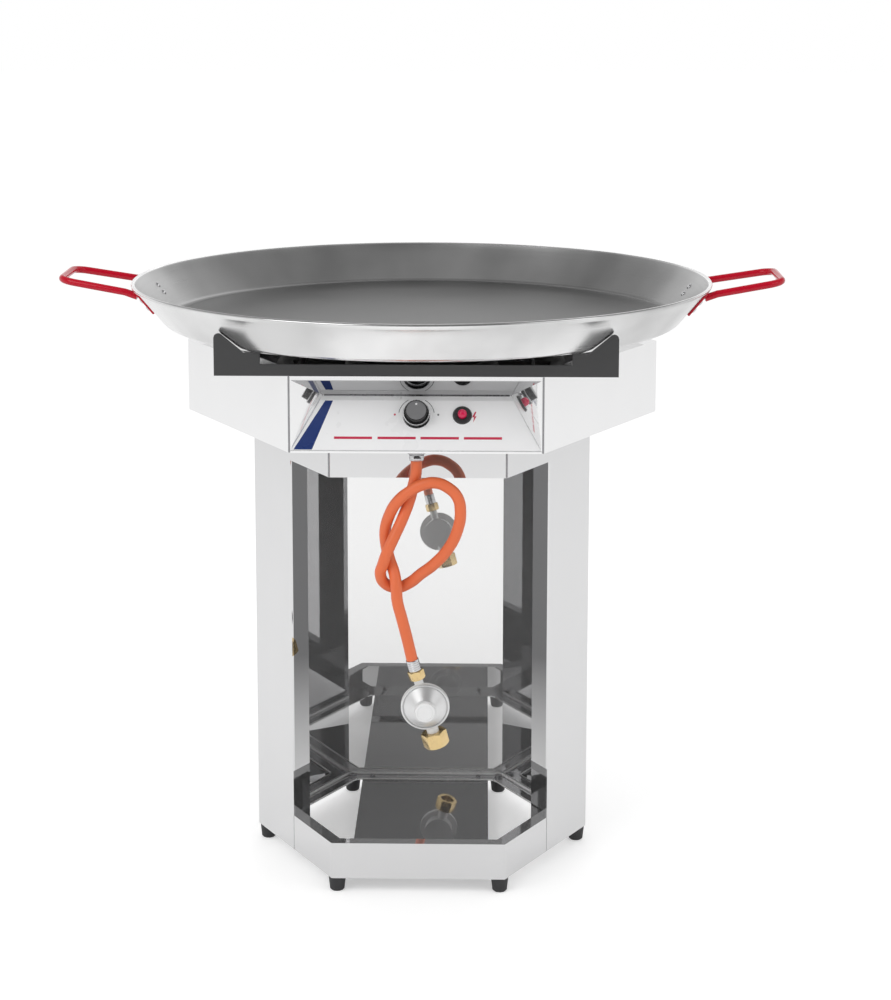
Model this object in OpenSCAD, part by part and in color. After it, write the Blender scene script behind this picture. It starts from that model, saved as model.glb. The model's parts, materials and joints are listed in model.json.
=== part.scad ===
/* [Stand] */
// Side of the stand's hexagon
stand_side = 235; // [225:1:245]
// Height of the stand's panels
stand_h = 607; // [500:1:700]
// Height of the two front rails
rail_h = 50; // [40:1:70]
// Width of the rails' inner lips
rail_lip = 18; // [14:1:22]
// Width of the folded flanges
flange_w = 25; // [23:1:30]
// Thickness of the sheet steel
sheet = 1.5; // [1:0.1:2]
// Depth of the bottle shelf's folded edges
shelf_fold = 10; // [6:1:14]
// Height of the feet
foot_h = 20; // [18:1:40]
// Diameter of the feet
foot_d = 24; // [20:1:26]
// Distance from a corner of the stand to the axis of its foot
foot_inset = 14; // [13:0.5:16]

/* [Burner box] */
// Side of the box's hexagon
box_side = 326; // [315:1:340]
// Height of the box
box_h = 100; // [95:1:120]
// Width of the box's top rim
rim_w = 25; // [22:1:32]
// Diameter of the air holes in the floor
air_hole_d = 60; // [30:1:80]

/* [Control recess] */
// Width of the lips beside the recess
side_lip = 2; // [2:0.5:8]
// Height of the lip above the recess
top_lip = 5; // [4:0.5:8]
// Height of the lip below the recess
bottom_lip = 2.5; // [2.5:0.5:10]
// Depth of the recess
recess_depth = 39.5; // [36:0.5:44]
// Drop of the hood from the top lip to the deep edge
hood_drop = 27; // [22:1:30]
// Bare strip of fascia above the label
label_drop = 7; // [4:0.5:10]
// Thickness of the label
label_t = 0.4; // [0.3:0.1:0.6]

/* [Controls] */
// Distance of the controls below the deep edge, along the fascia
control_drop = 27; // [25:0.5:29]
// Diameter of the knob's skirt
knob_d = 34; // [28:1:38]
// Height of the knob
knob_h = 14; // [12:1:18]
// Diameter of the knob's cap
cap_d = 25.5; // [20:0.5:27]
// Push of the knob
knob_travel = 3; // [2:0.5:4]
// Diameter of the valve's spindle
spindle_d = 6; // [5:0.5:8]
// Diameter of the valve's body
valve_d = 24; // [22:1:26]
// Diameter of the plug that turns in the valve
plug_d = 14; // [12:1:16]
// Distance from the knob to the igniter
igniter_x = 59; // [50:1:70]
// Diameter of the igniter's bezel
bezel_d = 25; // [22:1:28]
// Diameter of the igniter's button
button_d = 12; // [10:0.5:14]
// Push of the igniter's button
button_travel = 4; // [2:0.5:5]

/* [Pan supports] */
// Thickness of the support plates
plate_t = 3; // [2:0.5:3.5]
// Height of the plates at the middle
plate_h = 15; // [10:1:20]
// Height of the pads that carry the pan
pad_h = 30; // [25:1:40]
// Distance of the pads from the middle
pad_x = 199; // [190:1:202]
// Width of each pad
pad_w = 21; // [15:1:22]
// Distance of the arms' tips from the middle
tip_x = 252; // [245:1:260]
// Distance of the cross bars from the middle
bar_x = 150; // [145:1:155]

/* [Pan] */
// Diameter of the pan over its rim
pan_d = 800; // [790:1:820]
// Diameter of the pan's base
pan_base_d = 708; // [702:1:714]
// Depth of the pan
pan_depth = 56; // [50:1:70]
// Thickness of the pan
pan_wall = 2; // [1.5:0.1:3]
// Radius between the base and the wall
base_fillet = 16; // [10:1:20]
// Diameter of the rolled rim
bead_d = 5.6; // [5:0.1:7]

/* [Handles] */
// Diameter of the handle rod
rod_d = 10; // [8:0.5:11]
// Length of a handle from the pan's wall to its outer bar
handle_reach = 111; // [90:1:140]
// Distance between the legs at the pan
root_span = 136; // [120:1:150]
// Distance between the legs at the outer bar
outer_span = 116; // [100:1:118]
// Radius of the handle's corners
handle_bend = 22; // [12:1:25]
// Rise of the handles, in degrees
handle_rise = 9.6; // [6:0.2:12]
// Distance of the handles' roots below the rim
root_drop = 14; // [13.5:0.5:16]
// Diameter of the rivets
rivet_d = 5; // [4:0.5:6]

/* [Burner] */
// Diameter of the outer burner ring, at the middle of its tube
outer_ring_d = 380; // [340:1:390]
// Diameter of the inner burner ring, at the middle of its tube
inner_ring_d = 190; // [150:1:220]
// Diameter of the rings' tube
ring_tube_d = 26; // [22:1:28]
// Depth of the rings' middle below the box's top
ring_drop = 37; // [32:1:40]
// Diameter of the mixing tube
mixer_d = 32; // [28:1:34]
// Flame ports in the outer ring
port_count = 24; // [12:2:36]

/* [Hose and regulator] */
// Outer diameter of the gas hose
hose_d = 15; // [13:0.5:15]
// Distance of the hose fitting behind the box's front
tail_inset = 25; // [24:0.5:26]
// Diameter of the regulator
regulator_d = 64; // [56:1:70]
// Sideways lean of the hanging regulator, in degrees
regulator_roll = 15; // [10:1:20]
// Backward lean of the hanging regulator, in degrees
regulator_pitch = 6; // [0:1:10]
// Width of the coupling nut across its flats
coupling_af = 30; // [28:1:38]
// Diameter of the coupling nut's thread
coupling_thread_d = 21.8; // [20:0.1:24]

/* [Clearances] */
// Running fit of turning and sliding pieces
run_gap = 0.05; // [0.02:0.01:0.1]
// Gap between pieces that move apart
seat_gap = 0.3; // [0.2:0.05:0.5]
// Gap of a screw in its hole
screw_gap = 0.2; // [0.1:0.05:0.4]

/* [Hidden] */
$fn = 64;

// Heights that stack up from the floor
stand_top = foot_h + stand_h;
box_top = stand_top + box_h;
floor_top = stand_top + sheet;
pan_z = box_top + pad_h + seat_gap;
rim_z = pan_z + pan_depth;

// Plan sizes
stand_front = stand_side * cos(30);
box_front = box_side * cos(30);
foot_radius = stand_side - foot_inset;
shelf_gap = 3.5;
shelf_w = foot_radius - foot_d - 2 * shelf_gap;
shelf_edge = 3;
shelf_screw_inset = 15;
shelf_screw_x = shelf_w / 2 - shelf_screw_inset;
shelf_screw_y = stand_front - flange_w / 2;
air_hole_radius = 130;
air_hole_count = 6;

// Screws: shank diameter, head diameter, head height, length under the head
foot_screw = [6, 11, 3.5, 14];
small_screw = [4, 7.5, 2.4, 6];
rail_screw_edge = 12;

// Control recess, with y and z of its edges in the plane across the box
recess_half = box_side / 2 - side_lip;
deep_half = recess_half - recess_depth;
fascia_rise = box_h - top_lip - bottom_lip - hood_drop;
fascia_angle = atan2(fascia_rise, recess_depth);
fascia_len = norm([fascia_rise, recess_depth]);
hood_angle = atan2(hood_drop, recess_depth);
recess_top = [-box_front, box_top - top_lip];
recess_deep = [-box_front + recess_depth, box_top - top_lip - hood_drop];
recess_bottom = [-box_front, stand_top + bottom_lip];
hood_t = sheet / cos(hood_angle);
fascia_t = sheet / sin(fascia_angle);
fascia_fold = 12;
label_gap = 0.5;
label_end = 1.5;

// Controls, measured along their axes from the label's face
control_y = recess_deep[0] - control_drop * cos(fascia_angle);
control_z = recess_deep[1] - control_drop * sin(fascia_angle);
fascia_back = label_t + sheet;
valve_len = 38;
plug_front = 8;
plug_back = 30;
spindle_in = 20;
spindle_grip = 9;
ring_t = 1;
ring_rim = 1.5;
skirt_h = 4.5;
grip_wall = 1.5;
grip_d = cap_d + 2 * grip_wall;
rib_count = 24;
rib_d = 1.4;
cap_t = 1.6;
knob_lift = ring_t + knob_travel + seat_gap;
igniter_d = 20;
igniter_len = 34;
bezel_h = 3;
bezel_neck_d = 16;
button_up = 8.5;
button_t = 12;
stem_d = 5;
stem_len = 14;
button_pocket = button_t - bezel_h - button_up + button_travel;
lead_d = 3;
lead_len = 16;
electrode_d = 8;
tip_d = 2;
tip_h = 14;
probe_x = -40;
probe_d = 5;
flame_gap = 10;
sleeve_d = 4;

// Gas line, from the hose fitting up to the valve and back to the burner
tail_y = -box_front + tail_inset;
tail_drop = 14;
tail_z = stand_top - tail_drop;
tail_crimp_h = 8;
tail_nut_af = 20;
tail_lock_af = 26;
tail_lock_h = 7.5;
tail_thread_d = 18;
inlet_d = 10;
inlet_top = control_z - valve_d / 2;
valve_end_y = control_y + (valve_len - label_t) * sin(fascia_angle);
mixer_z = control_z - (valve_len - label_t) * cos(fascia_angle);
pipe_d = 10;
pipe_len = 20;
pipe_root = 6;
injector_af = 14;
injector_len = 15;
injector_tip_d = 8;
injector_tip = 12;
injector_y = valve_end_y + pipe_len;
shutter_t = 2;
shutter_len = 22;
shutter_slot = 8;
mixer_wall = 2.5;
mixer_mouth = 10;
mixer_y = injector_y + injector_len + mixer_mouth;
hub_d = 48;
hub_foot = 4;
arm_d = 16;
ring_z = box_top - ring_drop;
port_d = 3;
port_depth = 6;
leg_d = 12;
leg_count = 4;
leg_turn = 45;
leg_seat = 4;
ring_inside = (outer_ring_d - ring_tube_d) / 2;
probe_y = -sqrt(pow(ring_inside - flame_gap - probe_d, 2) - pow(probe_x, 2));
electrode_y = -sqrt(pow(ring_inside - flame_gap - electrode_d / 2, 2) - pow(igniter_x, 2));
lead_bend_y = control_y + (igniter_len + lead_len - label_t) * sin(fascia_angle);
lead_bend_z = control_z - (igniter_len + lead_len - label_t) * cos(fascia_angle);

// Pan supports
plate_inset = 0.5;
plate_front = box_front - plate_inset;
plate_back = plate_front - plate_t;
arm_gap = 2;
tip_r = 6;
end_w = 6;
foot_tab_x = 110;
foot_tab_w = 30;
foot_tab_t = 3;
foot_tab_len = 19;

// Pan and handles
bead_z = rim_z - bead_d / 2;
bead_r = (pan_d - bead_d) / 2;
wall_end_r = bead_r + pan_wall / 4;
wall_angle = atan2(bead_z - pan_z, wall_end_r - pan_base_d / 2);
corner_r = pan_base_d / 2 - base_fillet * tan(wall_angle / 2);
arc_steps = 6;
root_z = rim_z - root_drop;
root_r = pan_r(root_z);
root_x = sqrt(pow(root_r, 2) - pow(root_span / 2, 2));
root_turn = asin(root_span / 2 / root_r);
handle_taper = atan2((root_span - outer_span) / 2, handle_reach);
bend_len = handle_bend * tan((90 - handle_taper) / 2);
lug_w = 16;
lug_t = 3.5;
lug_up = 9;
rod_start = 2 * rod_d;
rod_sides = 12;
lug_down = 24;
rivet_steps = [9, 22];
rivet_head_d = 9;
rivet_head_h = 1.8;
weld_gap = 0.1;

// Hose route, in steps from the mouth of its fitting
hose_route = [
    [0, 0, 0], [-1, 1, -19], [-4, 4, -33], [-9, 3, -53], [-19, -4, -79], [-30, -12, -102], [-38, -14, -120],
    [-44, -11, -138], [-47, -7, -149], [-41, 0, -165], [-25, 4, -171], [-10, 3, -165], [5, -1, -152],
    [22, -5, -138], [41, -8, -116], [53, -10, -91], [57, -12, -65], [53, -13, -46], [42, -14, -34],
    [25, -14, -27], [7, -14, -30], [-9, -13, -39], [-25, -8, -54], [-36, -1, -75], [-41, 4, -95],
    [-40, 4, -113], [-36, 3, -131], [-29, -7, -149], [-26, -14, -167], [-25, -15, -183], [-19, -14, -208],
    [-13, -11, -233], [-6, -7, -265]
];
hose_sides = 10;
hose_last = len(hose_route) - 1;
hose_end = hose_route[hose_last];
hose_out = [
    sin(regulator_roll) * cos(regulator_pitch),
    sin(regulator_pitch),
    -cos(regulator_roll) * cos(regulator_pitch)
];

// Regulator, in steps down its own axis from the end of the hose
ferrule_d = 17;
ferrule_len = 16;
hose_nut_af = 19;
hose_nut_len = 12;
stem_top = ferrule_len + hose_nut_len;
neck_show = 6;
regulator_s = stem_top + neck_show + regulator_d / 2;
regulator_back = 11;
regulator_front = 9;
flange_t = 5;
drum_d = 46;
cover_inset = 3.5;
cover_h = 15;
cover_top_d = 30;
cap_knob_d = 26;
cap_knob_h = 5;
neck_d = 12;
tail_stem_d = 16;
nut_room = 8;
coupling_top = regulator_s + regulator_d / 2 + nut_room;
coupling_shoulder = 4;
coupling_len = 20;
collar_d = coupling_thread_d - 0.8;
collar_h = 3.7;
collar_room = 5;

steel = "gainsboro";
dark = "dimgray";
black = [0.16, 0.16, 0.17];
brass = "darkkhaki";

function across(af) = af / cos(30);
function pan_r(z) = pan_base_d / 2 + (z - pan_z) / tan(wall_angle);
function pan_wall_z(r) = pan_z + (r - pan_base_d / 2) * tan(wall_angle);
function corner_arc(r) = [
    for (i = [0:arc_steps])
        let (a = -90 + wall_angle * i / arc_steps)
        [corner_r + r * cos(a), pan_z + base_fillet + r * sin(a)]
];
function unit(v) = v / norm(v);
function hose_way(i) =
    i == 0 ? [0, 0, -1] :
    i == hose_last ? hose_out :
    unit(unit(hose_route[i + 1] - hose_route[i]) + unit(hose_route[i] - hose_route[i - 1]));

// Ring of points round a place on a route, square to the way that the route takes there
function ring(place, way, flat, d, sides) =
    let (
        up = unit(flat - (flat * way) * way),
        side = cross(way, up)
    )
    [for (k = [0:sides - 1]) place + d / 2 * (cos(360 * k / sides) * up + sin(360 * k / sides) * side)];

module hexagon(side) {
    circle(r = side, $fn = 6);
}

module hex_prism(af, h) {
    cylinder(d = across(af), h = h, $fn = 6);
}

// Part of a hexagon's edge band between two angles, drawn up to a height
module band(side, w, from, to, h) {
    linear_extrude(h)
        intersection() {
            difference() {
                hexagon(side);
                hexagon(side - w / cos(30));
            }
            polygon(concat([[0, 0]], [for (a = [from:30:to]) 2 * side * [cos(a), sin(a)]]));
        }
}

// Upright flange at a seam of the stand, facing inward on one side of the seam
module seam_flange(angle, w, h, turn) {
    rotate(angle)
        translate([stand_front - w, turn > 0 ? 0 : -sheet, 0])
            cube([w, sheet, h]);
}

module at_feet(first = 0, last = 5) {
    for (i = [first:last])
        rotate(60 * i)
            translate([foot_radius, 0, 0])
                children();
}

// Places along a seam where a rail is screwed to a panel's flange
module at_rail_screws(angle, z) {
    for (step = [rail_screw_edge, rail_h - rail_screw_edge])
        rotate(angle)
            translate([stand_front - rail_lip / 2, 0, z + step])
                rotate([90, 0, 0])
                    children();
}

module rail_screw_holes() {
    for (angle = [210, 330])
        for (z = [foot_h, stand_top - rail_h])
            at_rail_screws(angle, z)
                cylinder(d = small_screw[0] + 2 * screw_gap, h = 6 * sheet, center = true);
}

module shelf_screw_holes() {
    for (x = [-1, 1])
        for (y = [-1, 1])
            translate([x * shelf_screw_x, y * shelf_screw_y, foot_h])
                cylinder(d = small_screw[0] + 2 * screw_gap, h = 6 * sheet, center = true);
}

module foot_screw_holes() {
    at_feet()
        translate([0, 0, foot_h])
            cylinder(d = foot_screw[0] + 2 * screw_gap, h = 6 * sheet, center = true);
}

module box_screw_holes() {
    at_feet()
        translate([0, 0, stand_top])
            cylinder(d = small_screw[0] + 2 * screw_gap, h = 6 * sheet, center = true);
}

// Screw whose head sits at z = 0, with its shank below
module screw(sizes) {
    translate([0, 0, -sizes[3]])
        cylinder(d = sizes[0], h = sizes[3]);
    difference() {
        cylinder(d = sizes[1], h = sizes[2]);
        translate([0, 0, sizes[2] / 2])
            hex_prism(sizes[0] * 0.7, sizes[2]);
    }
}

// One folded front rail, from its lower edge
module front_rail(bottom_w, top_w) {
    band(stand_side, sheet, 210, 330, rail_h);
    band(stand_side, bottom_w, 210, 330, sheet);
    translate([0, 0, rail_h - sheet])
        band(stand_side, top_w, 210, 330, sheet);
    seam_flange(210, rail_lip, rail_h, 1);
    seam_flange(330, rail_lip, rail_h, -1);
}

module lower_front_rail() {
    color(steel)
        difference() {
            translate([0, 0, foot_h])
                front_rail(flange_w, rail_lip);
            foot_screw_holes();
            shelf_screw_holes();
            rail_screw_holes();
        }
}

module upper_front_rail() {
    color(steel)
        difference() {
            translate([0, 0, stand_top - rail_h])
                front_rail(rail_lip, flange_w);
            box_screw_holes();
            rail_screw_holes();
        }
}

// Wall of the stand between two angles, with a flange along its bottom and its top
module stand_wall(from, to) {
    band(stand_side, sheet, from, to, stand_h);
    band(stand_side, flange_w, from, to, sheet);
    translate([0, 0, stand_h - sheet])
        band(stand_side, flange_w, from, to, sheet);
}

module stand_holes() {
    foot_screw_holes();
    box_screw_holes();
    shelf_screw_holes();
    rail_screw_holes();
}

// Left wall of the stand, from the back panel round to its seam with the front rails
module side_panel() {
    color(steel)
        difference() {
            translate([0, 0, foot_h]) {
                stand_wall(120, 210);
                seam_flange(210, flange_w, stand_h, -1);
            }
            stand_holes();
        }
}

module left_panel() {
    side_panel();
}

module right_panel() {
    mirror([1, 0, 0])
        side_panel();
}

module back_panel() {
    color(steel)
        difference() {
            translate([0, 0, foot_h])
                stand_wall(60, 120);
            stand_holes();
        }
}

module bottle_shelf() {
    shelf_len = 2 * (stand_front - shelf_edge);
    fold_len = 2 * (stand_front - flange_w);
    color(steel)
        difference() {
            translate([0, 0, foot_h - sheet])
                union() {
                    translate([-shelf_w / 2, -shelf_len / 2, 0])
                        cube([shelf_w, shelf_len, sheet]);
                    for (x = [-shelf_w / 2, shelf_w / 2 - sheet])
                        translate([x, -fold_len / 2, sheet - shelf_fold])
                            cube([sheet, fold_len, shelf_fold]);
                }
            shelf_screw_holes();
        }
}

module foot(i) {
    edge = 2;
    flare = 2;
    color(black)
        rotate(60 * (i - 1))
            translate([foot_radius, 0, 0])
                difference() {
                    rotate_extrude()
                        polygon([
                            [0, 0], [foot_d / 2 - flare - edge, 0], [foot_d / 2 - flare, edge],
                            [foot_d / 2, foot_h], [0, foot_h]
                        ]);
                    translate([0, 0, foot_h - foot_screw[3]])
                        cylinder(d = foot_screw[0] + 2 * run_gap, h = foot_screw[3] + 1);
                }
}

module foot_screws() {
    color("silver")
        at_feet()
            translate([0, 0, foot_h + sheet])
                screw(foot_screw);
}

module shelf_screws() {
    color("silver")
        for (x = [-1, 1])
            for (y = [-1, 1])
                translate([x * shelf_screw_x, y * shelf_screw_y, foot_h + sheet])
                    screw(small_screw);
}

module rail_screws() {
    color("silver")
        for (z = [foot_h, stand_top - rail_h]) {
            at_rail_screws(330, z)
                translate([0, 0, sheet])
                    screw(small_screw);
            at_rail_screws(210, z)
                mirror([0, 0, 1])
                    translate([0, 0, sheet])
                        screw(small_screw);
        }
}

module burner_box() {
    window_h = box_h - top_lip - bottom_lip;
    color(steel)
        difference() {
            translate([0, 0, stand_top]) {
                band(box_side, sheet, 0, 360, box_h);
                translate([0, 0, box_h - sheet])
                    band(box_side, rim_w, 0, 360, sheet);
            }
            translate([-recess_half, -box_front - sheet, stand_top + bottom_lip])
                cube([2 * recess_half, 3 * sheet, window_h]);
            support_screw_holes();
        }
}

module box_floor() {
    color(steel)
        difference() {
            translate([0, 0, stand_top])
                linear_extrude(sheet)
                    hexagon(box_side - sheet / cos(30));
            box_screw_holes();
            translate([0, tail_y, stand_top])
                cylinder(d = tail_thread_d + 2 * screw_gap, h = 4 * sheet, center = true);
            for (i = [0:air_hole_count - 1])
                rotate(360 * (i + 0.5) / air_hole_count)
                    translate([air_hole_radius, 0, stand_top])
                        cylinder(d = air_hole_d, h = 4 * sheet, center = true);
        }
}

module box_screws() {
    color("silver")
        at_feet()
            translate([0, 0, floor_top])
                screw(small_screw);
}

// Profile in the plane across the box, drawn along its width
module along_width() {
    rotate([90, 0, 90])
        linear_extrude(box_side, center = true)
            children();
}

// What lies behind the box's front wall
module behind_front() {
    translate([-box_front + sheet, 0])
        square([box_front, box_top]);
}

module hood_profile() {
    polygon([recess_top, recess_deep, recess_deep + [0, hood_t], recess_top + [0, hood_t]]);
}

module fascia_profile() {
    polygon([recess_deep, recess_bottom, recess_bottom + [fascia_t, 0], recess_deep + [fascia_t, 0]]);
    translate(recess_deep)
        square([sheet, fascia_fold]);
    translate([-box_front + sheet, floor_top])
        square([sheet, recess_bottom[1] - floor_top + sheet]);
}

// Space between the two cheeks, in plan
module between_cheeks() {
    past = fascia_fold;
    translate([0, 0, stand_top])
        linear_extrude(box_h)
            polygon([
                [-recess_half, -box_front], [recess_half, -box_front],
                [deep_half - past, recess_deep[0] + past], [past - deep_half, recess_deep[0] + past]
            ]);
}

module recess_hood() {
    color(steel)
        intersection() {
            along_width()
                intersection() {
                    hood_profile();
                    behind_front();
                }
            between_cheeks();
        }
}

module control_fascia() {
    color(steel)
        difference() {
            intersection() {
                along_width()
                    intersection() {
                        fascia_profile();
                        behind_front();
                    }
                between_cheeks();
            }
            control_holes();
        }
}

// One cheek of the recess, turned to the right or the left
module cheek(turn) {
    cheek_t = sheet / cos(45);
    deep_y = recess_deep[0] + fascia_t;
    color(steel)
        intersection() {
            along_width()
                intersection() {
                    polygon([
                        recess_top, recess_top + [0, hood_t], recess_deep + [0, hood_t], recess_deep,
                        recess_deep + [fascia_t, 0], recess_bottom + [fascia_t, 0], recess_bottom
                    ]);
                    behind_front();
                }
            translate([0, 0, stand_top])
                linear_extrude(box_h)
                    polygon([
                        [turn * recess_half, -box_front], [turn * (deep_half - fascia_t), deep_y],
                        [turn * (deep_half - fascia_t + cheek_t), deep_y],
                        [turn * (recess_half + cheek_t), -box_front]
                    ]);
        }
}

module left_cheek() {
    cheek(-1);
}

module right_cheek() {
    cheek(1);
}

// Frame of a control: its origin on the label's face, +Z out of the fascia
module at_control(x) {
    translate([x, control_y, control_z])
        rotate([fascia_angle, 0, 0])
            translate([0, 0, label_t])
                children();
}

module control_holes() {
    at_control(0)
        cylinder(d = spindle_d + 2 * seat_gap, h = 6 * fascia_back, center = true);
    at_control(igniter_x)
        cylinder(d = bezel_neck_d + 2 * screw_gap, h = 6 * fascia_back, center = true);
}

module control_label() {
    label_bottom = fascia_len - label_end;
    top_half = deep_half + label_drop * cos(fascia_angle) - label_gap;
    bottom_half = deep_half + label_bottom * cos(fascia_angle) - label_gap;
    color("whitesmoke")
        difference() {
            translate([0, recess_deep[0], recess_deep[1]])
                rotate([fascia_angle, 0, 0])
                    linear_extrude(label_t)
                        polygon([
                            [-top_half, -label_drop], [top_half, -label_drop],
                            [bottom_half, -label_bottom], [-bottom_half, -label_bottom]
                        ]);
            control_holes();
        }
}

module knob_ring() {
    color("silver")
        at_control(0)
            difference() {
                cylinder(d = knob_d + 2 * ring_rim, h = ring_t);
                translate([0, 0, -ring_t])
                    cylinder(d = spindle_d + 2 * seat_gap, h = 3 * ring_t);
            }
}

module control_knob() {
    color(black)
        at_control(0)
            translate([0, 0, knob_lift])
                difference() {
                    union() {
                        cylinder(d = knob_d, h = skirt_h);
                        translate([0, 0, skirt_h])
                            linear_extrude(knob_h - skirt_h)
                                difference() {
                                    circle(d = grip_d);
                                    for (i = [0:rib_count - 1])
                                        rotate(360 * (i + 0.5) / rib_count)
                                            translate([grip_d / 2, 0])
                                                circle(d = rib_d);
                                }
                    }
                    translate([0, 0, knob_h - cap_t])
                        cylinder(d = cap_d, h = 2 * cap_t);
                    translate([0, 0, -1])
                        cylinder(d = spindle_d + 2 * run_gap, h = spindle_grip + 1);
                }
}

module knob_cap() {
    color("gray")
        at_control(0)
            translate([0, 0, knob_lift + knob_h - cap_t])
                cylinder(d = cap_d - 2 * run_gap, h = cap_t);
}

module valve_spindle() {
    color("silver")
        at_control(0)
            translate([0, 0, -spindle_in])
                cylinder(d = spindle_d, h = spindle_in + knob_lift + spindle_grip);
}

module valve_plug() {
    color(brass)
        at_control(0)
            translate([0, 0, -plug_back + seat_gap])
                difference() {
                    cylinder(d = plug_d - 2 * run_gap, h = plug_back - plug_front - 2 * seat_gap);
                    translate([0, 0, plug_back - spindle_in - knob_travel - 2 * seat_gap])
                        cylinder(d = spindle_d + 2 * run_gap, h = plug_back);
                }
}

// Outside of the valve, drawn larger where another piece is cut to meet it
module valve_shape(grow = 0) {
    at_control(0)
        translate([0, 0, -valve_len])
            cylinder(d = valve_d + 2 * grow, h = valve_len - fascia_back);
}

module valve_body() {
    color(brass)
        difference() {
            valve_shape();
            at_control(0) {
                translate([0, 0, -plug_back])
                    cylinder(d = plug_d, h = plug_back - plug_front);
                translate([0, 0, -plug_front - 1])
                    cylinder(d = spindle_d + 2 * seat_gap, h = plug_front + 1);
            }
        }
}

module igniter_body() {
    color(dark)
        at_control(igniter_x)
            difference() {
                translate([0, 0, -igniter_len])
                    cylinder(d = igniter_d, h = igniter_len - fascia_back);
                translate([0, 0, -fascia_back - button_pocket])
                    cylinder(d = button_d + 2 * seat_gap, h = button_pocket + 1);
                translate([0, 0, -stem_len - button_travel - button_pocket])
                    cylinder(d = stem_d + 2 * run_gap, h = stem_len + button_pocket);
            }
}

module igniter_bezel() {
    color(black)
        at_control(igniter_x)
            difference() {
                union() {
                    cylinder(d1 = bezel_d, d2 = bezel_d - bezel_h, h = bezel_h);
                    translate([0, 0, -fascia_back])
                        cylinder(d = bezel_neck_d, h = fascia_back + 1);
                }
                translate([0, 0, -2 * fascia_back])
                    cylinder(d = button_d + 2 * run_gap, h = 4 * fascia_back + bezel_h);
            }
}

module igniter_button() {
    color("crimson")
        at_control(igniter_x)
            translate([0, 0, bezel_h + button_up]) {
                translate([0, 0, -button_t])
                    cylinder(d = button_d, h = button_t - 1);
                translate([0, 0, -1])
                    cylinder(d1 = button_d, d2 = button_d - 2, h = 1);
                translate([0, 0, -button_t - stem_len])
                    cylinder(d = stem_d, h = stem_len);
            }
}

module electrode_shape(grow = 0) {
    translate([igniter_x, electrode_y, floor_top])
        cylinder(d = electrode_d + 2 * grow, h = ring_z - floor_top);
}

module ignition_lead() {
    color(black)
        difference() {
            union() {
                at_control(igniter_x)
                    translate([0, 0, -igniter_len - lead_len])
                        cylinder(d = lead_d, h = lead_len);
                translate([igniter_x, lead_bend_y - sleeve_d / 2, lead_bend_z])
                    rotate([-90, 0, 0])
                        cylinder(d = sleeve_d, h = electrode_y - lead_bend_y + sleeve_d / 2);
            }
            electrode_shape(run_gap);
        }
}

module spark_electrode() {
    color("white")
        union() {
            electrode_shape();
            translate([igniter_x, electrode_y, ring_z])
                cylinder(d = tip_d, h = tip_h);
        }
}

module thermocouple() {
    color("peru")
        translate([probe_x, probe_y, floor_top]) {
            cylinder(d = 2 * probe_d, h = probe_d);
            cylinder(d = probe_d, h = ring_z - floor_top + tip_h);
        }
}

module inlet_pipe() {
    color(brass)
        difference() {
            translate([0, tail_y, floor_top + tail_lock_h])
                cylinder(d = inlet_d, h = inlet_top - floor_top - tail_lock_h);
            valve_shape(run_gap);
        }
}

// Place on the burner's feed line, with +Z pointing back
module on_feed(y) {
    translate([0, y, mixer_z])
        rotate([-90, 0, 0])
            children();
}

module gas_pipe() {
    color("peru")
        difference() {
            on_feed(valve_end_y - pipe_root)
                cylinder(d = pipe_d, h = pipe_len + pipe_root);
            valve_shape(run_gap);
        }
}

module injector() {
    color(brass)
        on_feed(injector_y) {
            hex_prism(injector_af, injector_len);
            translate([0, 0, injector_len])
                cylinder(d = injector_tip_d, h = injector_tip);
        }
}

module air_shutter() {
    color(steel)
        on_feed(injector_y + injector_len)
            difference() {
                cylinder(d = mixer_d + 2 * shutter_t, h = shutter_len);
                translate([0, 0, shutter_t])
                    cylinder(d = mixer_d + 2 * run_gap, h = shutter_len);
                translate([0, 0, -1])
                    cylinder(d = injector_tip_d + 2 * run_gap, h = shutter_len);
                for (i = [0:3])
                    rotate(45 + 90 * i)
                        translate([mixer_d / 3, 0, -1])
                            cylinder(d = shutter_slot, h = 2 * shutter_t + 1);
            }
}

module hub_shape(grow = 0) {
    translate([0, 0, floor_top])
        cylinder(d = hub_d + 2 * grow, h = ring_z + arm_d / 2 + hub_foot - floor_top);
}

module mixing_tube() {
    color(dark)
        difference() {
            on_feed(mixer_y)
                cylinder(d = mixer_d, h = -mixer_y);
            on_feed(mixer_y - 1)
                cylinder(d = mixer_d - 2 * mixer_wall, h = -mixer_y);
            hub_shape(run_gap);
        }
}

module ring_shape(d, grow = 0) {
    translate([0, 0, ring_z])
        rotate_extrude()
            translate([d / 2, 0])
                circle(d = ring_tube_d + 2 * grow);
}

module burner_ring(d, ports) {
    color(dark)
        difference() {
            ring_shape(d);
            for (i = [0:ports - 1])
                rotate(360 * (i + 0.5) / ports)
                    translate([d / 2, 0, ring_z + ring_tube_d / 2 - port_depth])
                        cylinder(d = port_d, h = 2 * port_depth);
        }
}

module burner_manifold() {
    color(dark)
        difference() {
            union() {
                hub_shape();
                for (i = [0:3])
                    rotate(90 * i)
                        translate([0, 0, ring_z])
                            rotate([0, 90, 0])
                                cylinder(d = arm_d, h = outer_ring_d / 2);
            }
            ring_shape(outer_ring_d, run_gap);
            ring_shape(inner_ring_d, run_gap);
            on_feed(mixer_y)
                cylinder(d = mixer_d - 2 * mixer_wall, h = -mixer_y);
        }
}

module outer_burner() {
    burner_ring(outer_ring_d, port_count);
}

module inner_burner() {
    burner_ring(inner_ring_d, port_count / 2);
}

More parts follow.
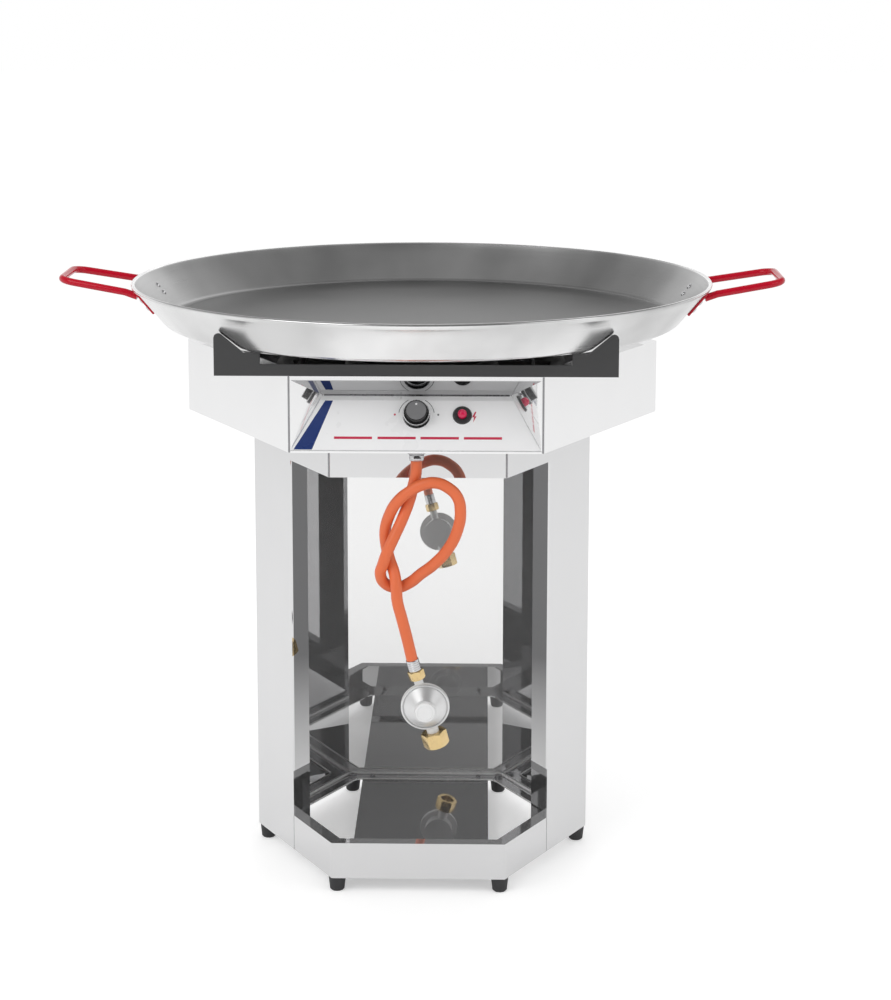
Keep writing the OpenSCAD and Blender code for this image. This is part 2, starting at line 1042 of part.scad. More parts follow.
module burner_legs() {
    color(dark)
        difference() {
            for (i = [0:leg_count - 1])
                rotate(leg_turn + 360 * i / leg_count)
                    translate([outer_ring_d / 2, 0, floor_top])
                        cylinder(d = leg_d, h = ring_z - ring_tube_d / 2 + leg_seat - floor_top);
            ring_shape(outer_ring_d, run_gap);
        }
}

// Half of a support plate's outline, to the right of the middle
function plate_half() = [
    [tip_x + end_w, 0],
    [tip_x + end_w, tip_top - tip_r],
    for (a = [0:30:120]) [tip_x, tip_top - tip_r] + tip_r * [cos(a), sin(a)],
    [pad_x + pad_w, pad_h],
    [pad_x, pad_h],
    [pad_x, plate_h]
];
tip_top = max(pan_wall_z(norm([tip_x, plate_back])) - arm_gap - box_top, pad_h + tip_r);

// Plate that carries one side of the pan, at the front of the box
module support_plate() {
    half = plate_half();
    left = [for (i = [len(half) - 1:-1:0]) [-half[i][0], half[i][1]]];
    color(black)
        difference() {
            translate([0, 0, box_top])
                union() {
                    translate([0, -plate_back, 0])
                        rotate([90, 0, 0])
                            linear_extrude(plate_t)
                                polygon(concat(half, left));
                    for (x = [-foot_tab_x, foot_tab_x])
                        translate([x - foot_tab_w / 2, -plate_back, 0])
                            cube([foot_tab_w, foot_tab_len, foot_tab_t]);
                }
            support_screw_holes();
        }
}

module at_support_screws() {
    for (y = [-1, 1])
        for (x = [-1, 1])
            translate([x * foot_tab_x, y * (plate_back - foot_tab_len / 2), box_top + foot_tab_t])
                children();
}

module support_screw_holes() {
    at_support_screws()
        cylinder(d = small_screw[0] + 2 * screw_gap, h = 6 * foot_tab_t, center = true);
}

module front_support() {
    support_plate();
}

module rear_support() {
    mirror([0, 1, 0])
        support_plate();
}

// Bar from the front plate to the rear plate
module cross_bar(x) {
    color(black)
        translate([x - plate_t / 2, -plate_back, box_top])
            cube([plate_t, 2 * plate_back, plate_h]);
}

module left_support() {
    cross_bar(-bar_x);
}

module right_support() {
    cross_bar(bar_x);
}

module support_screws() {
    color("silver")
        at_support_screws()
            screw(small_screw);
}

module hose_tail() {
    nut_h = tail_drop - tail_crimp_h;
    color("silver")
        translate([0, tail_y, tail_z]) {
            cylinder(d = hose_d + 3, h = tail_crimp_h);
            translate([0, 0, tail_crimp_h])
                hex_prism(tail_nut_af, nut_h);
            translate([0, 0, tail_drop])
                cylinder(d = tail_thread_d, h = sheet);
            translate([0, 0, tail_drop + sheet])
                hex_prism(tail_lock_af, tail_lock_h);
        }
}

// Closed tube through a list of rings
module tube(rings) {
    n = len(rings[0]);
    last = (len(rings) - 1) * n;
    points = [for (r = rings) each r];
    sides = [
        for (i = [0:len(rings) - 2])
            for (k = [0:n - 1])
                let (a = i * n + k, b = i * n + (k + 1) % n)
                each [[a, b + n, b], [a, a + n, b + n]]
    ];
    start = [for (k = [1:n - 2]) [0, k, k + 1]];
    end = [for (k = [1:n - 2]) [last, last + k + 1, last + k]];
    polyhedron(points, concat(sides, start, end));
}

module gas_hose() {
    color("coral")
        translate([0, tail_y, tail_z])
            tube([for (i = [0:hose_last]) ring(hose_route[i], hose_way(i), [0, 1, 0], hose_d, hose_sides)]);
}

// Frame of the regulator: its origin at the end of the hose, +Z down its own axis
module at_regulator(s) {
    translate([0, tail_y, tail_z] + hose_end)
        rotate([-regulator_pitch, 180 - regulator_roll, 0])
            translate([0, 0, s])
                children();
}

module hose_ferrule() {
    color("silver")
        at_regulator(0)
            cylinder(d = ferrule_d, h = ferrule_len);
}

module hose_nut() {
    color(brass)
        at_regulator(ferrule_len)
            hex_prism(hose_nut_af, hose_nut_len);
}

module regulator_body() {
    color("silver")
        union() {
            at_regulator(regulator_s)
                rotate([90, 0, 0]) {
                    translate([0, 0, -regulator_back])
                        cylinder(d = drum_d, h = regulator_back + regulator_front);
                    translate([0, 0, regulator_front - flange_t])
                        cylinder(d = regulator_d, h = flange_t);
                }
            at_regulator(stem_top)
                cylinder(d = neck_d, h = regulator_s - stem_top);
            at_regulator(regulator_s)
                cylinder(d = tail_stem_d, h = coupling_top + coupling_shoulder + collar_h - regulator_s);
            at_regulator(coupling_top + coupling_shoulder + seat_gap)
                cylinder(d = collar_d, h = collar_h);
        }
}

module regulator_cover() {
    color("lightgray")
        at_regulator(regulator_s)
            rotate([90, 0, 0])
                translate([0, 0, regulator_front]) {
                    cylinder(d1 = regulator_d - 2 * cover_inset, d2 = cover_top_d, h = cover_h);
                    translate([0, 0, cover_h])
                        cylinder(d = cap_knob_d, h = cap_knob_h);
                }
}

module coupling_nut() {
    color(brass)
        at_regulator(coupling_top)
            difference() {
                hex_prism(coupling_af, coupling_len);
                translate([0, 0, -1])
                    cylinder(d = tail_stem_d + 2 * seat_gap, h = coupling_len);
                translate([0, 0, coupling_shoulder])
                    cylinder(d = coupling_thread_d + 2 * seat_gap, h = collar_room);
                translate([0, 0, coupling_shoulder])
                    cylinder(d = coupling_thread_d, h = coupling_len);
            }
}

module at_handle_roots() {
    for (turn = [-1, 1])
        rotate(turn * root_turn)
            translate([root_r, 0, root_z])
                rotate([0, 180 - wall_angle, 0])
                    children();
}

module at_rivets() {
    at_handle_roots()
        for (step = rivet_steps)
            translate([step, 0, 0])
                children();
}

module rivet_holes() {
    for (turn = [0, 180])
        rotate(turn)
            at_rivets()
                cylinder(d = rivet_d + 2 * run_gap, h = 8 * pan_wall, center = true);
}

module pan() {
    inner = corner_arc(base_fillet - pan_wall);
    wall_x = pan_wall / sin(wall_angle);
    color("gray")
        difference() {
            rotate_extrude($fn = 128)
                union() {
                    polygon(concat(
                        [[0, pan_z]],
                        corner_arc(base_fillet),
                        [[wall_end_r, bead_z], [wall_end_r - wall_x, bead_z]],
                        [for (i = [arc_steps:-1:0]) inner[i]],
                        [[0, pan_z + pan_wall]]
                    ));
                    translate([bead_r, bead_z])
                        circle(d = bead_d);
                }
            rivet_holes();
        }
}

// Point of the handle's sloping plane, in steps out from the pan's wall and across
function on_handle(p) = [root_x, p[1], root_z] + p[0] * [cos(handle_rise), 0, sin(handle_rise)];

// Half of the handle's rod, as places with the ways that it takes there
function handle_half(turn) =
    let (
        way = [cos(handle_taper), -sin(handle_taper)],
        corner = [handle_reach, outer_span / 2] - bend_len * way + handle_bend * [way[1], -way[0]],
        lug_way = [sin(wall_angle) * cos(root_turn), turn * sin(wall_angle) * sin(root_turn), -cos(wall_angle)]
    )
    [
        [on_handle([0, turn * root_span / 2]) + (weld_gap + lug_t / 2) * lug_way, lug_way],
        [
            on_handle([0, turn * root_span / 2] + rod_start * [way[0], turn * way[1]]),
            unit(on_handle([way[0], turn * way[1]]) - on_handle([0, 0]))
        ],
        for (i = [0:arc_steps])
            let (a = (90 - handle_taper) * (1 - i / arc_steps))
            [
                on_handle([corner[0] + handle_bend * cos(a), turn * (corner[1] + handle_bend * sin(a))]),
                on_handle([sin(a), -turn * cos(a)]) - on_handle([0, 0])
            ]
    ];

module handle() {
    half = handle_half(1);
    back = handle_half(-1);
    steps = concat(half, [for (i = [len(back) - 1:-1:0]) [back[i][0], -back[i][1]]]);
    flat = [-sin(handle_rise), 0, cos(handle_rise)];
    color("red") {
        tube([for (step = steps) ring(step[0], step[1], flat, rod_d, rod_sides)]);
        difference() {
            at_handle_roots() {
                translate([-lug_up, -lug_w / 2, weld_gap])
                    cube([lug_up + lug_down, lug_w, lug_t]);
                translate([lug_down, 0, weld_gap])
                    cylinder(d = lug_w, h = lug_t);
            }
            at_rivets()
                cylinder(d = rivet_d + 2 * run_gap, h = 8 * pan_wall, center = true);
        }
    }
}

module left_handle() {
    rotate(180)
        handle();
}

module right_handle() {
    handle();
}

module handle_rivets() {
    inside = -pan_wall - weld_gap;
    outside = lug_t + weld_gap;
    color("silver")
        for (turn = [0, 180])
            rotate(turn)
                at_rivets() {
                    translate([0, 0, inside])
                        cylinder(d = rivet_d, h = outside - inside);
                    translate([0, 0, outside])
                        cylinder(d1 = rivet_head_d, d2 = rivet_d, h = rivet_head_h);
                    translate([0, 0, inside - rivet_head_h])
                        cylinder(d1 = rivet_d, d2 = rivet_head_d, h = rivet_head_h);
                }
}

lower_front_rail();
upper_front_rail();
left_panel();
right_panel();
back_panel();
bottle_shelf();
for (i = [1:6]) foot(i);
foot_screws();
shelf_screws();
rail_screws();
burner_box();
box_floor();
box_screws();
recess_hood();
control_fascia();
left_cheek();
right_cheek();
control_label();
knob_ring();
control_knob();
knob_cap();
valve_spindle();
valve_plug();
valve_body();
igniter_body();
igniter_bezel();
igniter_button();
ignition_lead();
spark_electrode();
thermocouple();
inlet_pipe();
gas_pipe();
injector();
air_shutter();
mixing_tube();
burner_manifold();
outer_burner();
inner_burner();
burner_legs();
front_support();
rear_support();
left_support();
right_support();
support_screws();
hose_tail();
gas_hose();
hose_ferrule();
hose_nut();
regulator_body();
regulator_cover();
coupling_nut();
pan();
left_handle();
right_handle();
handle_rivets();
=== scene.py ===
import json
from math import atan2, cos, pi, radians, sin, tan

import bpy
from mathutils import Euler, Matrix, Vector


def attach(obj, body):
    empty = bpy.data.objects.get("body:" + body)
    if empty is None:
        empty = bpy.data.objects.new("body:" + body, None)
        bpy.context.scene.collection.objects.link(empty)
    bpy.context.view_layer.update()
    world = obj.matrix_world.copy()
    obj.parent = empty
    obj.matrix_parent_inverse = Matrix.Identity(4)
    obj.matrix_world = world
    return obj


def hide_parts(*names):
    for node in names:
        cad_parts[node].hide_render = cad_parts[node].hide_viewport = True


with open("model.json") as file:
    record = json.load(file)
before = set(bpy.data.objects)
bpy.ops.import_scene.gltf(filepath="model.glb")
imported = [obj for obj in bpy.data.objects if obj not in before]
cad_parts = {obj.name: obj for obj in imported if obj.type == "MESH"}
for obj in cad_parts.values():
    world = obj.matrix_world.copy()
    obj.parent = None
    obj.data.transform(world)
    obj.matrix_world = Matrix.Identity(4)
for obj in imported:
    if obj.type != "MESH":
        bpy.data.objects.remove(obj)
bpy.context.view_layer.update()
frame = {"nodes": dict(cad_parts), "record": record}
nodes = frame["nodes"]
scene = bpy.context.scene
scene.view_settings.view_transform = "Standard"
print("frame loaded:", len(nodes), "nodes")


# small helpers

def mm(*values):
    return Vector(values) / 1000


def clearPick():
    active = bpy.context.view_layer.objects.active
    if active and active.mode != "OBJECT":
        bpy.ops.object.mode_set(mode="OBJECT")
    bpy.ops.object.select_all(action="DESELECT")


def pickOnly(*objs):
    clearPick()
    for obj in objs:
        obj.select_set(True)
    bpy.context.view_layer.objects.active = objs[0]


def applyPlace(obj, matrix=None):
    pickOnly(obj)
    if matrix is not None:
        obj.matrix_world = matrix
    bpy.ops.object.transform_apply(location=True, rotation=True, scale=True)
    return obj


def applyModifiers(obj):
    pickOnly(obj)
    for mod in list(obj.modifiers):
        bpy.ops.object.modifier_apply(modifier=mod.name)


def joinAll(objs, name):
    pickOnly(*objs)
    if len(objs) > 1:
        bpy.ops.object.join()
    obj = bpy.context.object
    obj.name = obj.data.name = name
    return obj


def smooth(obj, angle=35):
    pickOnly(obj)
    bpy.ops.object.shade_smooth_by_angle(angle=radians(angle))


def roundEdges(obj, width, segments=2, angle=40):
    mod = obj.modifiers.new("roundEdges", "BEVEL")
    mod.width = width
    mod.segments = segments
    mod.limit_method = "ANGLE"
    mod.angle_limit = radians(angle)
    mod.harden_normals = False
    applyModifiers(obj)


def weld(obj, distance):
    mod = obj.modifiers.new("weld", "WELD")
    mod.merge_threshold = distance
    applyModifiers(obj)


mergeReach = 0.00002


def drawPath(name, places):
    # one vertex is drawn from place to place; the mesh stays in edit mode, all picked
    clearPick()
    bpy.ops.mesh.primitive_plane_add(size=0.001)
    obj = bpy.context.object
    obj.name = obj.data.name = name
    bpy.ops.object.mode_set(mode="EDIT")
    bpy.ops.mesh.select_all(action="SELECT")
    bpy.ops.mesh.merge(type="CENTER")
    bpy.ops.transform.translate(value=places[0])
    for here, there in zip(places, places[1:]):
        bpy.ops.mesh.extrude_region_move(TRANSFORM_OT_translate={"value": there - here})
    bpy.ops.mesh.select_all(action="SELECT")
    return obj


def turnOutwards():
    bpy.ops.mesh.select_all(action="SELECT")
    bpy.ops.mesh.normals_make_consistent(inside=False)
    bpy.ops.object.mode_set(mode="OBJECT")


def turned(name, profile, steps=64, closed=False):
    # a profile (radius, height in mm) spun round Z
    places = [mm(r, 0, z) for r, z in profile]
    obj = drawPath(name, places + places[:1] if closed else places)
    bpy.ops.mesh.spin(steps=steps, angle=2 * pi, center=(0, 0, 0), axis=(0, 0, 1))
    bpy.ops.mesh.select_all(action="SELECT")
    bpy.ops.mesh.remove_doubles(threshold=mergeReach)
    turnOutwards()
    return obj


def turnedRod(name, low, high, r, tip, ease, steps):
    # a round rod with eased ends; tip is the share of the radius that its end faces keep
    side = [(r * tip, low), (r, low + ease), (r, high - ease), (r * tip, high)]
    return turned(name, [(0, low)] + side + [(0, high)], steps)


fullTurn = (0, 330, 11)  # start, end and steps of a ring of twelve points
lying = Matrix.Rotation(pi / 2, 4, "Y")  # from upright to along X


def arc(centre, radius, start, end, steps):
    # points on an arc in the (radius, height) plane, angles from straight down, turning outwards
    found = []
    for i in range(steps + 1):
        a = radians(start + (end - start) * i / steps)
        found.append((centre[0] + radius * sin(a), centre[1] - radius * cos(a)))
    return found


def outlined(name, points, thick):
    # an outline (mm, in the XY plane) filled and drawn up to its thickness
    obj = drawPath(name, [mm(x, y, 0) for x, y in points])
    bpy.ops.mesh.edge_face_add()
    bpy.ops.mesh.extrude_region_move(TRANSFORM_OT_translate={"value": mm(0, 0, thick)})
    turnOutwards()
    return obj


def dress(obj, finish):
    obj.data.materials.clear()
    obj.data.materials.append(finish)


def seat(obj, body, finish, slotName, *replaced):
    dress(obj, finish)
    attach(obj, body)
    if replaced:
        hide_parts(*replaced)
    return obj


# camera

photoCamera = {
    "place": (0.08627, -3.2478, 1.2759),
    "tiltDown": 9.596,
    "turn": 1.295,
    "lens": 85.29,
    "shift": (0.0145, -0.16),
    "sensor": 36,
    "farClip": 50,
}
camData = bpy.data.cameras.new("photoCamera")
camData.sensor_width = photoCamera["sensor"]
camData.lens = photoCamera["lens"]
camData.shift_x, camData.shift_y = photoCamera["shift"]
camData.clip_end = photoCamera["farClip"]
cam = bpy.data.objects.new("photoCamera", camData)
cam.location = photoCamera["place"]
cam.rotation_euler = Euler((radians(90 - photoCamera["tiltDown"]), 0, radians(photoCamera["turn"])))
scene.collection.objects.link(cam)
scene.camera = cam
print("camera placed")


# finishes

def groupStart(name, inputs, outputs):
    group = bpy.data.node_groups.new(name, "ShaderNodeTree")
    for label, kind, value in inputs:
        socket = group.interface.new_socket(name=label, in_out="INPUT", socket_type=kind)
        socket.default_value = value
    for label, kind in outputs:
        group.interface.new_socket(name=label, in_out="OUTPUT", socket_type=kind)
    return group, group.nodes.new("NodeGroupInput"), group.nodes.new("NodeGroupOutput")


def add(tree, kind, **values):
    node = tree.nodes.new(kind)
    for key, value in values.items():
        if hasattr(node, key):
            setattr(node, key, value)
        else:
            node.inputs[key.replace("_", " ")].default_value = value
    return node


def calc(tree, operation, *terms):
    node = tree.nodes.new("ShaderNodeMath")
    node.operation = operation
    for i, term in enumerate(terms):
        if isinstance(term, (int, float)):
            node.inputs[i].default_value = term
        else:
            tree.links.new(term, node.inputs[i])
    return node.outputs[0]


def spread(tree, value, low, high, toLow, toHigh):
    node = tree.nodes.new("ShaderNodeMapRange")
    tree.links.new(value, node.inputs["Value"])
    for label, term in (("From Min", low), ("From Max", high), ("To Min", toLow), ("To Max", toHigh)):
        if isinstance(term, (int, float)):
            node.inputs[label].default_value = term
        else:
            tree.links.new(term, node.inputs[label])
    return node.outputs["Result"]


number, colour = "NodeSocketFloat", "NodeSocketColor"
noiseSpan = (0.3, 0.7)  # where most of a noise's values lie
finishDetail = {"wipeScale": (260, 260, 9), "cloudShare": 0.7, "patchScale": 23, "coatRoughness": 0.06}


def makePolishHaze():
    # faint wipe marks and clouding on polished metal or plastic
    group, given, out = groupStart(
        "polishHaze",
        [("Color", colour, (0.8, 0.8, 0.8, 1)), ("Low", number, 0.03), ("High", number, 0.08),
         ("Cloud Scale", number, 14), ("Shade", number, 0.04)],
        [("Color", colour), ("Roughness", number)])
    place = add(group, "ShaderNodeTexCoord")
    cloud = add(group, "ShaderNodeTexNoise", Detail=4)
    group.links.new(place.outputs["Object"], cloud.inputs["Vector"])
    group.links.new(given.outputs["Cloud Scale"], cloud.inputs["Scale"])
    stretch = add(group, "ShaderNodeMapping", Scale=finishDetail["wipeScale"])
    group.links.new(place.outputs["Object"], stretch.inputs["Vector"])
    wipe = add(group, "ShaderNodeTexNoise", Scale=1, Detail=2)
    group.links.new(stretch.outputs[0], wipe.inputs["Vector"])
    share = finishDetail["cloudShare"]
    both = calc(group, "ADD", calc(group, "MULTIPLY", cloud.outputs["Fac"], share),
                calc(group, "MULTIPLY", wipe.outputs["Fac"], 1 - share))
    rough = spread(group, both, *noiseSpan, given.outputs["Low"], given.outputs["High"])
    group.links.new(rough, out.inputs["Roughness"])
    dim = calc(group, "SUBTRACT", 1.0, calc(group, "MULTIPLY", both, given.outputs["Shade"]))
    shade = add(group, "ShaderNodeVectorMath", operation="SCALE")
    group.links.new(given.outputs["Color"], shade.inputs[0])
    group.links.new(dim, shade.inputs["Scale"])
    group.links.new(shade.outputs[0], out.inputs["Color"])
    return group


def makeSkinGrain():
    # fine moulded or sprayed skin: a bump height and a roughness that changes a little
    group, given, out = groupStart(
        "skinGrain",
        [("Grain Scale", number, 900), ("Low", number, 0.3), ("High", number, 0.4)],
        [("Height", number), ("Roughness", number), ("Patch", number)])
    place = add(group, "ShaderNodeTexCoord")
    fine = add(group, "ShaderNodeTexNoise", Detail=3)
    group.links.new(place.outputs["Object"], fine.inputs["Vector"])
    group.links.new(given.outputs["Grain Scale"], fine.inputs["Scale"])
    patch = add(group, "ShaderNodeTexNoise", Scale=finishDetail["patchScale"], Detail=3)
    group.links.new(place.outputs["Object"], patch.inputs["Vector"])
    group.links.new(fine.outputs["Fac"], out.inputs["Height"])
    rough = spread(group, patch.outputs["Fac"], *noiseSpan, given.outputs["Low"], given.outputs["High"])
    group.links.new(rough, out.inputs["Roughness"])
    group.links.new(patch.outputs["Fac"], out.inputs["Patch"])
    return group


polishHaze = makePolishHaze()
skinGrain = makeSkinGrain()


def startFinish(name, shade, metallic):
    finish = bpy.data.materials.new(name)
    finish.use_nodes = True
    tree = finish.node_tree
    shader = tree.nodes["Principled BSDF"]
    shader.inputs["Base Color"].default_value = (*shade, 1)
    shader.inputs["Metallic"].default_value = metallic
    return finish, tree, shader


def polished(name, shade, low, high, cloud=14, dim=0.05, metallic=1):
    finish, tree, shader = startFinish(name, shade, metallic)
    haze = add(tree, "ShaderNodeGroup", node_tree=polishHaze)
    haze.inputs["Color"].default_value = (*shade, 1)
    for label, value in (("Low", low), ("High", high), ("Cloud Scale", cloud), ("Shade", dim)):
        haze.inputs[label].default_value = value
    tree.links.new(haze.outputs["Color"], shader.inputs["Base Color"])
    tree.links.new(haze.outputs["Roughness"], shader.inputs["Roughness"])
    return finish


def mixColour(tree, amount, first, second):
    # first and second are colours or sockets
    mix = add(tree, "ShaderNodeMix", data_type="RGBA")
    tree.links.new(amount, mix.inputs[0])
    for socket, term in ((mix.inputs[6], first), (mix.inputs[7], second)):
        if isinstance(term, tuple):
            socket.default_value = (*term, 1)
        else:
            tree.links.new(term, socket)
    return mix.outputs[2]


def blendColour(finish, amount, shade):
    tree = finish.node_tree
    base = tree.nodes["Principled BSDF"].inputs["Base Color"]
    tree.links.new(mixColour(tree, amount, base.links[0].from_socket, shade), base)


def inwardFaces(tree, place):
    # 1 where a face looks towards the stand's middle
    facing = add(tree, "ShaderNodeNewGeometry")
    level = add(tree, "ShaderNodeVectorMath", operation="MULTIPLY")
    level.inputs[1].default_value = (1, 1, 0)
    tree.links.new(place.outputs["Object"], level.inputs[0])
    turnedIn = add(tree, "ShaderNodeVectorMath", operation="DOT_PRODUCT")
    tree.links.new(facing.outputs["Normal"], turnedIn.inputs[0])
    tree.links.new(level.outputs[0], turnedIn.inputs[1])
    return calc(tree, "LESS_THAN", turnedIn.outputs["Value"], -panelPaintedLight["leastTurn"])


# painted shade and painted light on the sheet panels: a dark blend for the side panels' returns and inward faces, a
# near-white blend for the back panel's inward faces
panelPaintedLight = {
    "middle": 0.2035, "sheet": 0.0022, "returnsFront": -0.06, "returnsFrom": 0.14, "returnsTo": 0.30,
    "low": 0.25, "high": 0.83, "inner": 0.1, "dark": (0.03, 0.03, 0.032), "backInnerLight": (0.97, 0.97, 0.97),
    "leastTurn": 0.1,
}


def paintReturnShade(finish):
    # painted shade: the folded front returns of the side panels are blended towards a dark colour, most of all high
    # up, and faces turned towards the stand's middle get a little of it too
    w = panelPaintedLight
    tree = finish.node_tree
    place = add(tree, "ShaderNodeTexCoord")
    split = add(tree, "ShaderNodeSeparateXYZ")
    tree.links.new(place.outputs["Object"], split.inputs[0])
    x, y, z = (split.outputs[k] for k in "XYZ")
    sideways = calc(tree, "MULTIPLY", calc(tree, "ABSOLUTE", x), cos(radians(30)))
    outwards = calc(tree, "SUBTRACT", sideways, calc(tree, "MULTIPLY", y, sin(radians(30))))
    folded = calc(tree, "LESS_THAN", outwards, w["middle"] - w["sheet"])
    mask = calc(tree, "MULTIPLY", folded, calc(tree, "LESS_THAN", y, w["returnsFront"]))
    returns = calc(tree, "MULTIPLY", mask, spread(tree, z, w["returnsFrom"], w["returnsTo"], w["low"], w["high"]))
    inside = calc(tree, "MULTIPLY", inwardFaces(tree, place), w["inner"])
    blendColour(finish, calc(tree, "MAXIMUM", inside, returns), w["dark"])


def paintInsideLight(finish):
    # painted light: the back panel's inward faces are blended towards near-white
    place = add(finish.node_tree, "ShaderNodeTexCoord")
    blendColour(finish, inwardFaces(finish.node_tree, place), panelPaintedLight["backInnerLight"])


def skinned(name, shade, low, high, grain=900, depth=0.05, distance=0.0002, mottle=0.12, metallic=0, coat=0,
            specular=0.5):
    finish, tree, shader = startFinish(name, shade, metallic)
    skin = add(tree, "ShaderNodeGroup", node_tree=skinGrain)
    for label, value in (("Grain Scale", grain), ("Low", low), ("High", high)):
        skin.inputs[label].default_value = value
    bump = add(tree, "ShaderNodeBump", Strength=depth, Distance=distance)
    tree.links.new(skin.outputs["Height"], bump.inputs["Height"])
    tree.links.new(bump.outputs["Normal"], shader.inputs["Normal"])
    tree.links.new(skin.outputs["Roughness"], shader.inputs["Roughness"])
    darker = tuple(c * (1 - mottle) for c in shade)
    lighter = tuple(min(1, c * (1 + mottle)) for c in shade)
    tree.links.new(mixColour(tree, skin.outputs["Patch"], darker, lighter), shader.inputs["Base Color"])
    shader.inputs["Specular IOR Level"].default_value = specular
    if coat:
        shader.inputs["Coat Weight"].default_value = coat
        shader.inputs["Coat Roughness"].default_value = finishDetail["coatRoughness"]
    return finish


panShape = {
    "baseZ": 757.3, "depth": 56, "rimR": 400, "baseR": 354, "wall": 2, "fillet": 16, "bead": 2.8,
    "baseSteps": (0, 60, 140, 220, 290), "wallSteps": (0.12, 0.33, 0.66), "beadArc": (70, 250, 10), "turnSteps": 192,
}
wallAngle = atan2(panShape["depth"], panShape["rimR"] - panShape["baseR"])


panFinish = {
    "base": (0.15, 0.15, 0.15), "inside": (0.43, 0.43, 0.43), "outside": (0.74, 0.74, 0.74),
    "ringScale": 900, "cloudScale": 4.5, "brush": (0.08, 0.0002),  # bump strength and depth
    "cooking": (0.2, 0.5), "floor": (0.7, 0.98),  # spans of the normal's height
    "dull": (0.26, 0.42), "bright": (0.16, 0.28),  # roughness
    # painted reflection: the bands, and the tones by the handles, lighter inside and darker outside
    "clouds": (0.36, 0.62, 0.8, 1.1), "bandScale": 2.6, "bandSeed": 2.3, "bands": (0.35, 0.65, 0.13, -0.13),
    "outerSideShade": (0.1, 0.75, 0.15, -0.12), "innerSideLight": (0.72, 0.97, 0.0, 0.45),  # from, to, tones there
}


def makePanSteel():
    # rolled steel with ring-shaped brushing; the cooking side is darker and duller, and the wall carries painted
    # reflections
    p = panFinish
    finish, tree, shader = startFinish("panSteel", p["outside"], 1)
    place = add(tree, "ShaderNodeTexCoord")
    flat = add(tree, "ShaderNodeVectorMath", operation="MULTIPLY")
    flat.inputs[1].default_value = (1, 1, 0)
    tree.links.new(place.outputs["Object"], flat.inputs[0])
    length = add(tree, "ShaderNodeVectorMath", operation="LENGTH")
    tree.links.new(flat.outputs[0], length.inputs[0])
    radius = length.outputs["Value"]
    rings = add(tree, "ShaderNodeTexNoise", noise_dimensions="1D", Scale=p["ringScale"], Detail=3)
    tree.links.new(radius, rings.inputs["W"])
    cloud = add(tree, "ShaderNodeTexNoise", Scale=p["cloudScale"], Detail=4)
    tree.links.new(place.outputs["Object"], cloud.inputs["Vector"])
    facing = add(tree, "ShaderNodeNewGeometry")
    split = add(tree, "ShaderNodeSeparateXYZ")
    tree.links.new(facing.outputs["Normal"], split.inputs[0])
    cooking = spread(tree, split.outputs["Z"], *p["cooking"], 0.0, 1.0)
    rimFrom = (panShape["rimR"] - 2 * panShape["bead"]) / 1000
    unrolled = calc(tree, "SUBTRACT", 1, calc(tree, "GREATER_THAN", radius, rimFrom))
    cookingSide = calc(tree, "MULTIPLY", cooking, unrolled)
    cookingFloor = calc(tree, "MULTIPLY", spread(tree, split.outputs["Z"], *p["floor"], 0.0, 1.0), unrolled)
    tint = mixColour(tree, cookingFloor, mixColour(tree, cookingSide, p["outside"], p["inside"]), p["base"])
    # painted reflection: soft light and dark bands up the wall; by the handles a painted paler tone inside and painted
    # shade outside
    around = add(tree, "ShaderNodeVectorMath", operation="NORMALIZE")
    tree.links.new(flat.outputs[0], around.inputs[0])
    bands = add(tree, "ShaderNodeTexNoise", noise_dimensions="4D", W=p["bandSeed"], Scale=p["bandScale"], Detail=2)
    tree.links.new(around.outputs[0], bands.inputs["Vector"])
    onWall = calc(tree, "GREATER_THAN", radius, panShape["baseR"] / 1000)
    sideways = add(tree, "ShaderNodeSeparateXYZ")
    tree.links.new(around.outputs[0], sideways.inputs[0])
    byHandles = calc(tree, "ABSOLUTE", sideways.outputs["X"])
    outer = calc(tree, "MULTIPLY", spread(tree, byHandles, *p["outerSideShade"]), calc(tree, "SUBTRACT", 1, cooking))
    inner = calc(tree, "MULTIPLY", spread(tree, byHandles, *p["innerSideLight"]), cooking)
    reflectionBands = spread(tree, bands.outputs["Fac"], *p["bands"])
    paintedWallReflection = calc(tree, "MULTIPLY", onWall, calc(tree, "ADD", reflectionBands, calc(tree, "ADD", outer, inner)))
    dim = calc(tree, "ADD", paintedWallReflection, spread(tree, cloud.outputs["Fac"], *p["clouds"]))
    shade = add(tree, "ShaderNodeVectorMath", operation="SCALE")
    tree.links.new(tint, shade.inputs[0])
    tree.links.new(dim, shade.inputs["Scale"])
    tree.links.new(shade.outputs[0], shader.inputs["Base Color"])
    brushed = calc(tree, "ADD", calc(tree, "MULTIPLY", rings.outputs["Fac"], 0.5),
                   calc(tree, "MULTIPLY", cloud.outputs["Fac"], 0.5))
    duller = add(tree, "ShaderNodeMix", data_type="FLOAT")
    tree.links.new(cookingSide, duller.inputs[0])
    tree.links.new(spread(tree, brushed, *noiseSpan, *p["bright"]), duller.inputs[2])
    tree.links.new(spread(tree, brushed, *noiseSpan, *p["dull"]), duller.inputs[3])
    tree.links.new(duller.outputs[0], shader.inputs["Roughness"])
    bump = add(tree, "ShaderNodeBump", Strength=p["brush"][0], Distance=p["brush"][1])
    tree.links.new(rings.outputs["Fac"], bump.inputs["Height"])
    tree.links.new(bump.outputs["Normal"], shader.inputs["Normal"])
    return finish


standSteel = polished("standSteel", (0.71, 0.71, 0.715), 0.01, 0.035, metallic=0.9)
panelSteel = polished("panelSteel", (0.71, 0.71, 0.715), 0.006, 0.02, metallic=0.92)
paintReturnShade(panelSteel)
backSteel = polished("backSteel", (0.70, 0.70, 0.71), 0.008, 0.02, metallic=0.74)
paintInsideLight(backSteel)
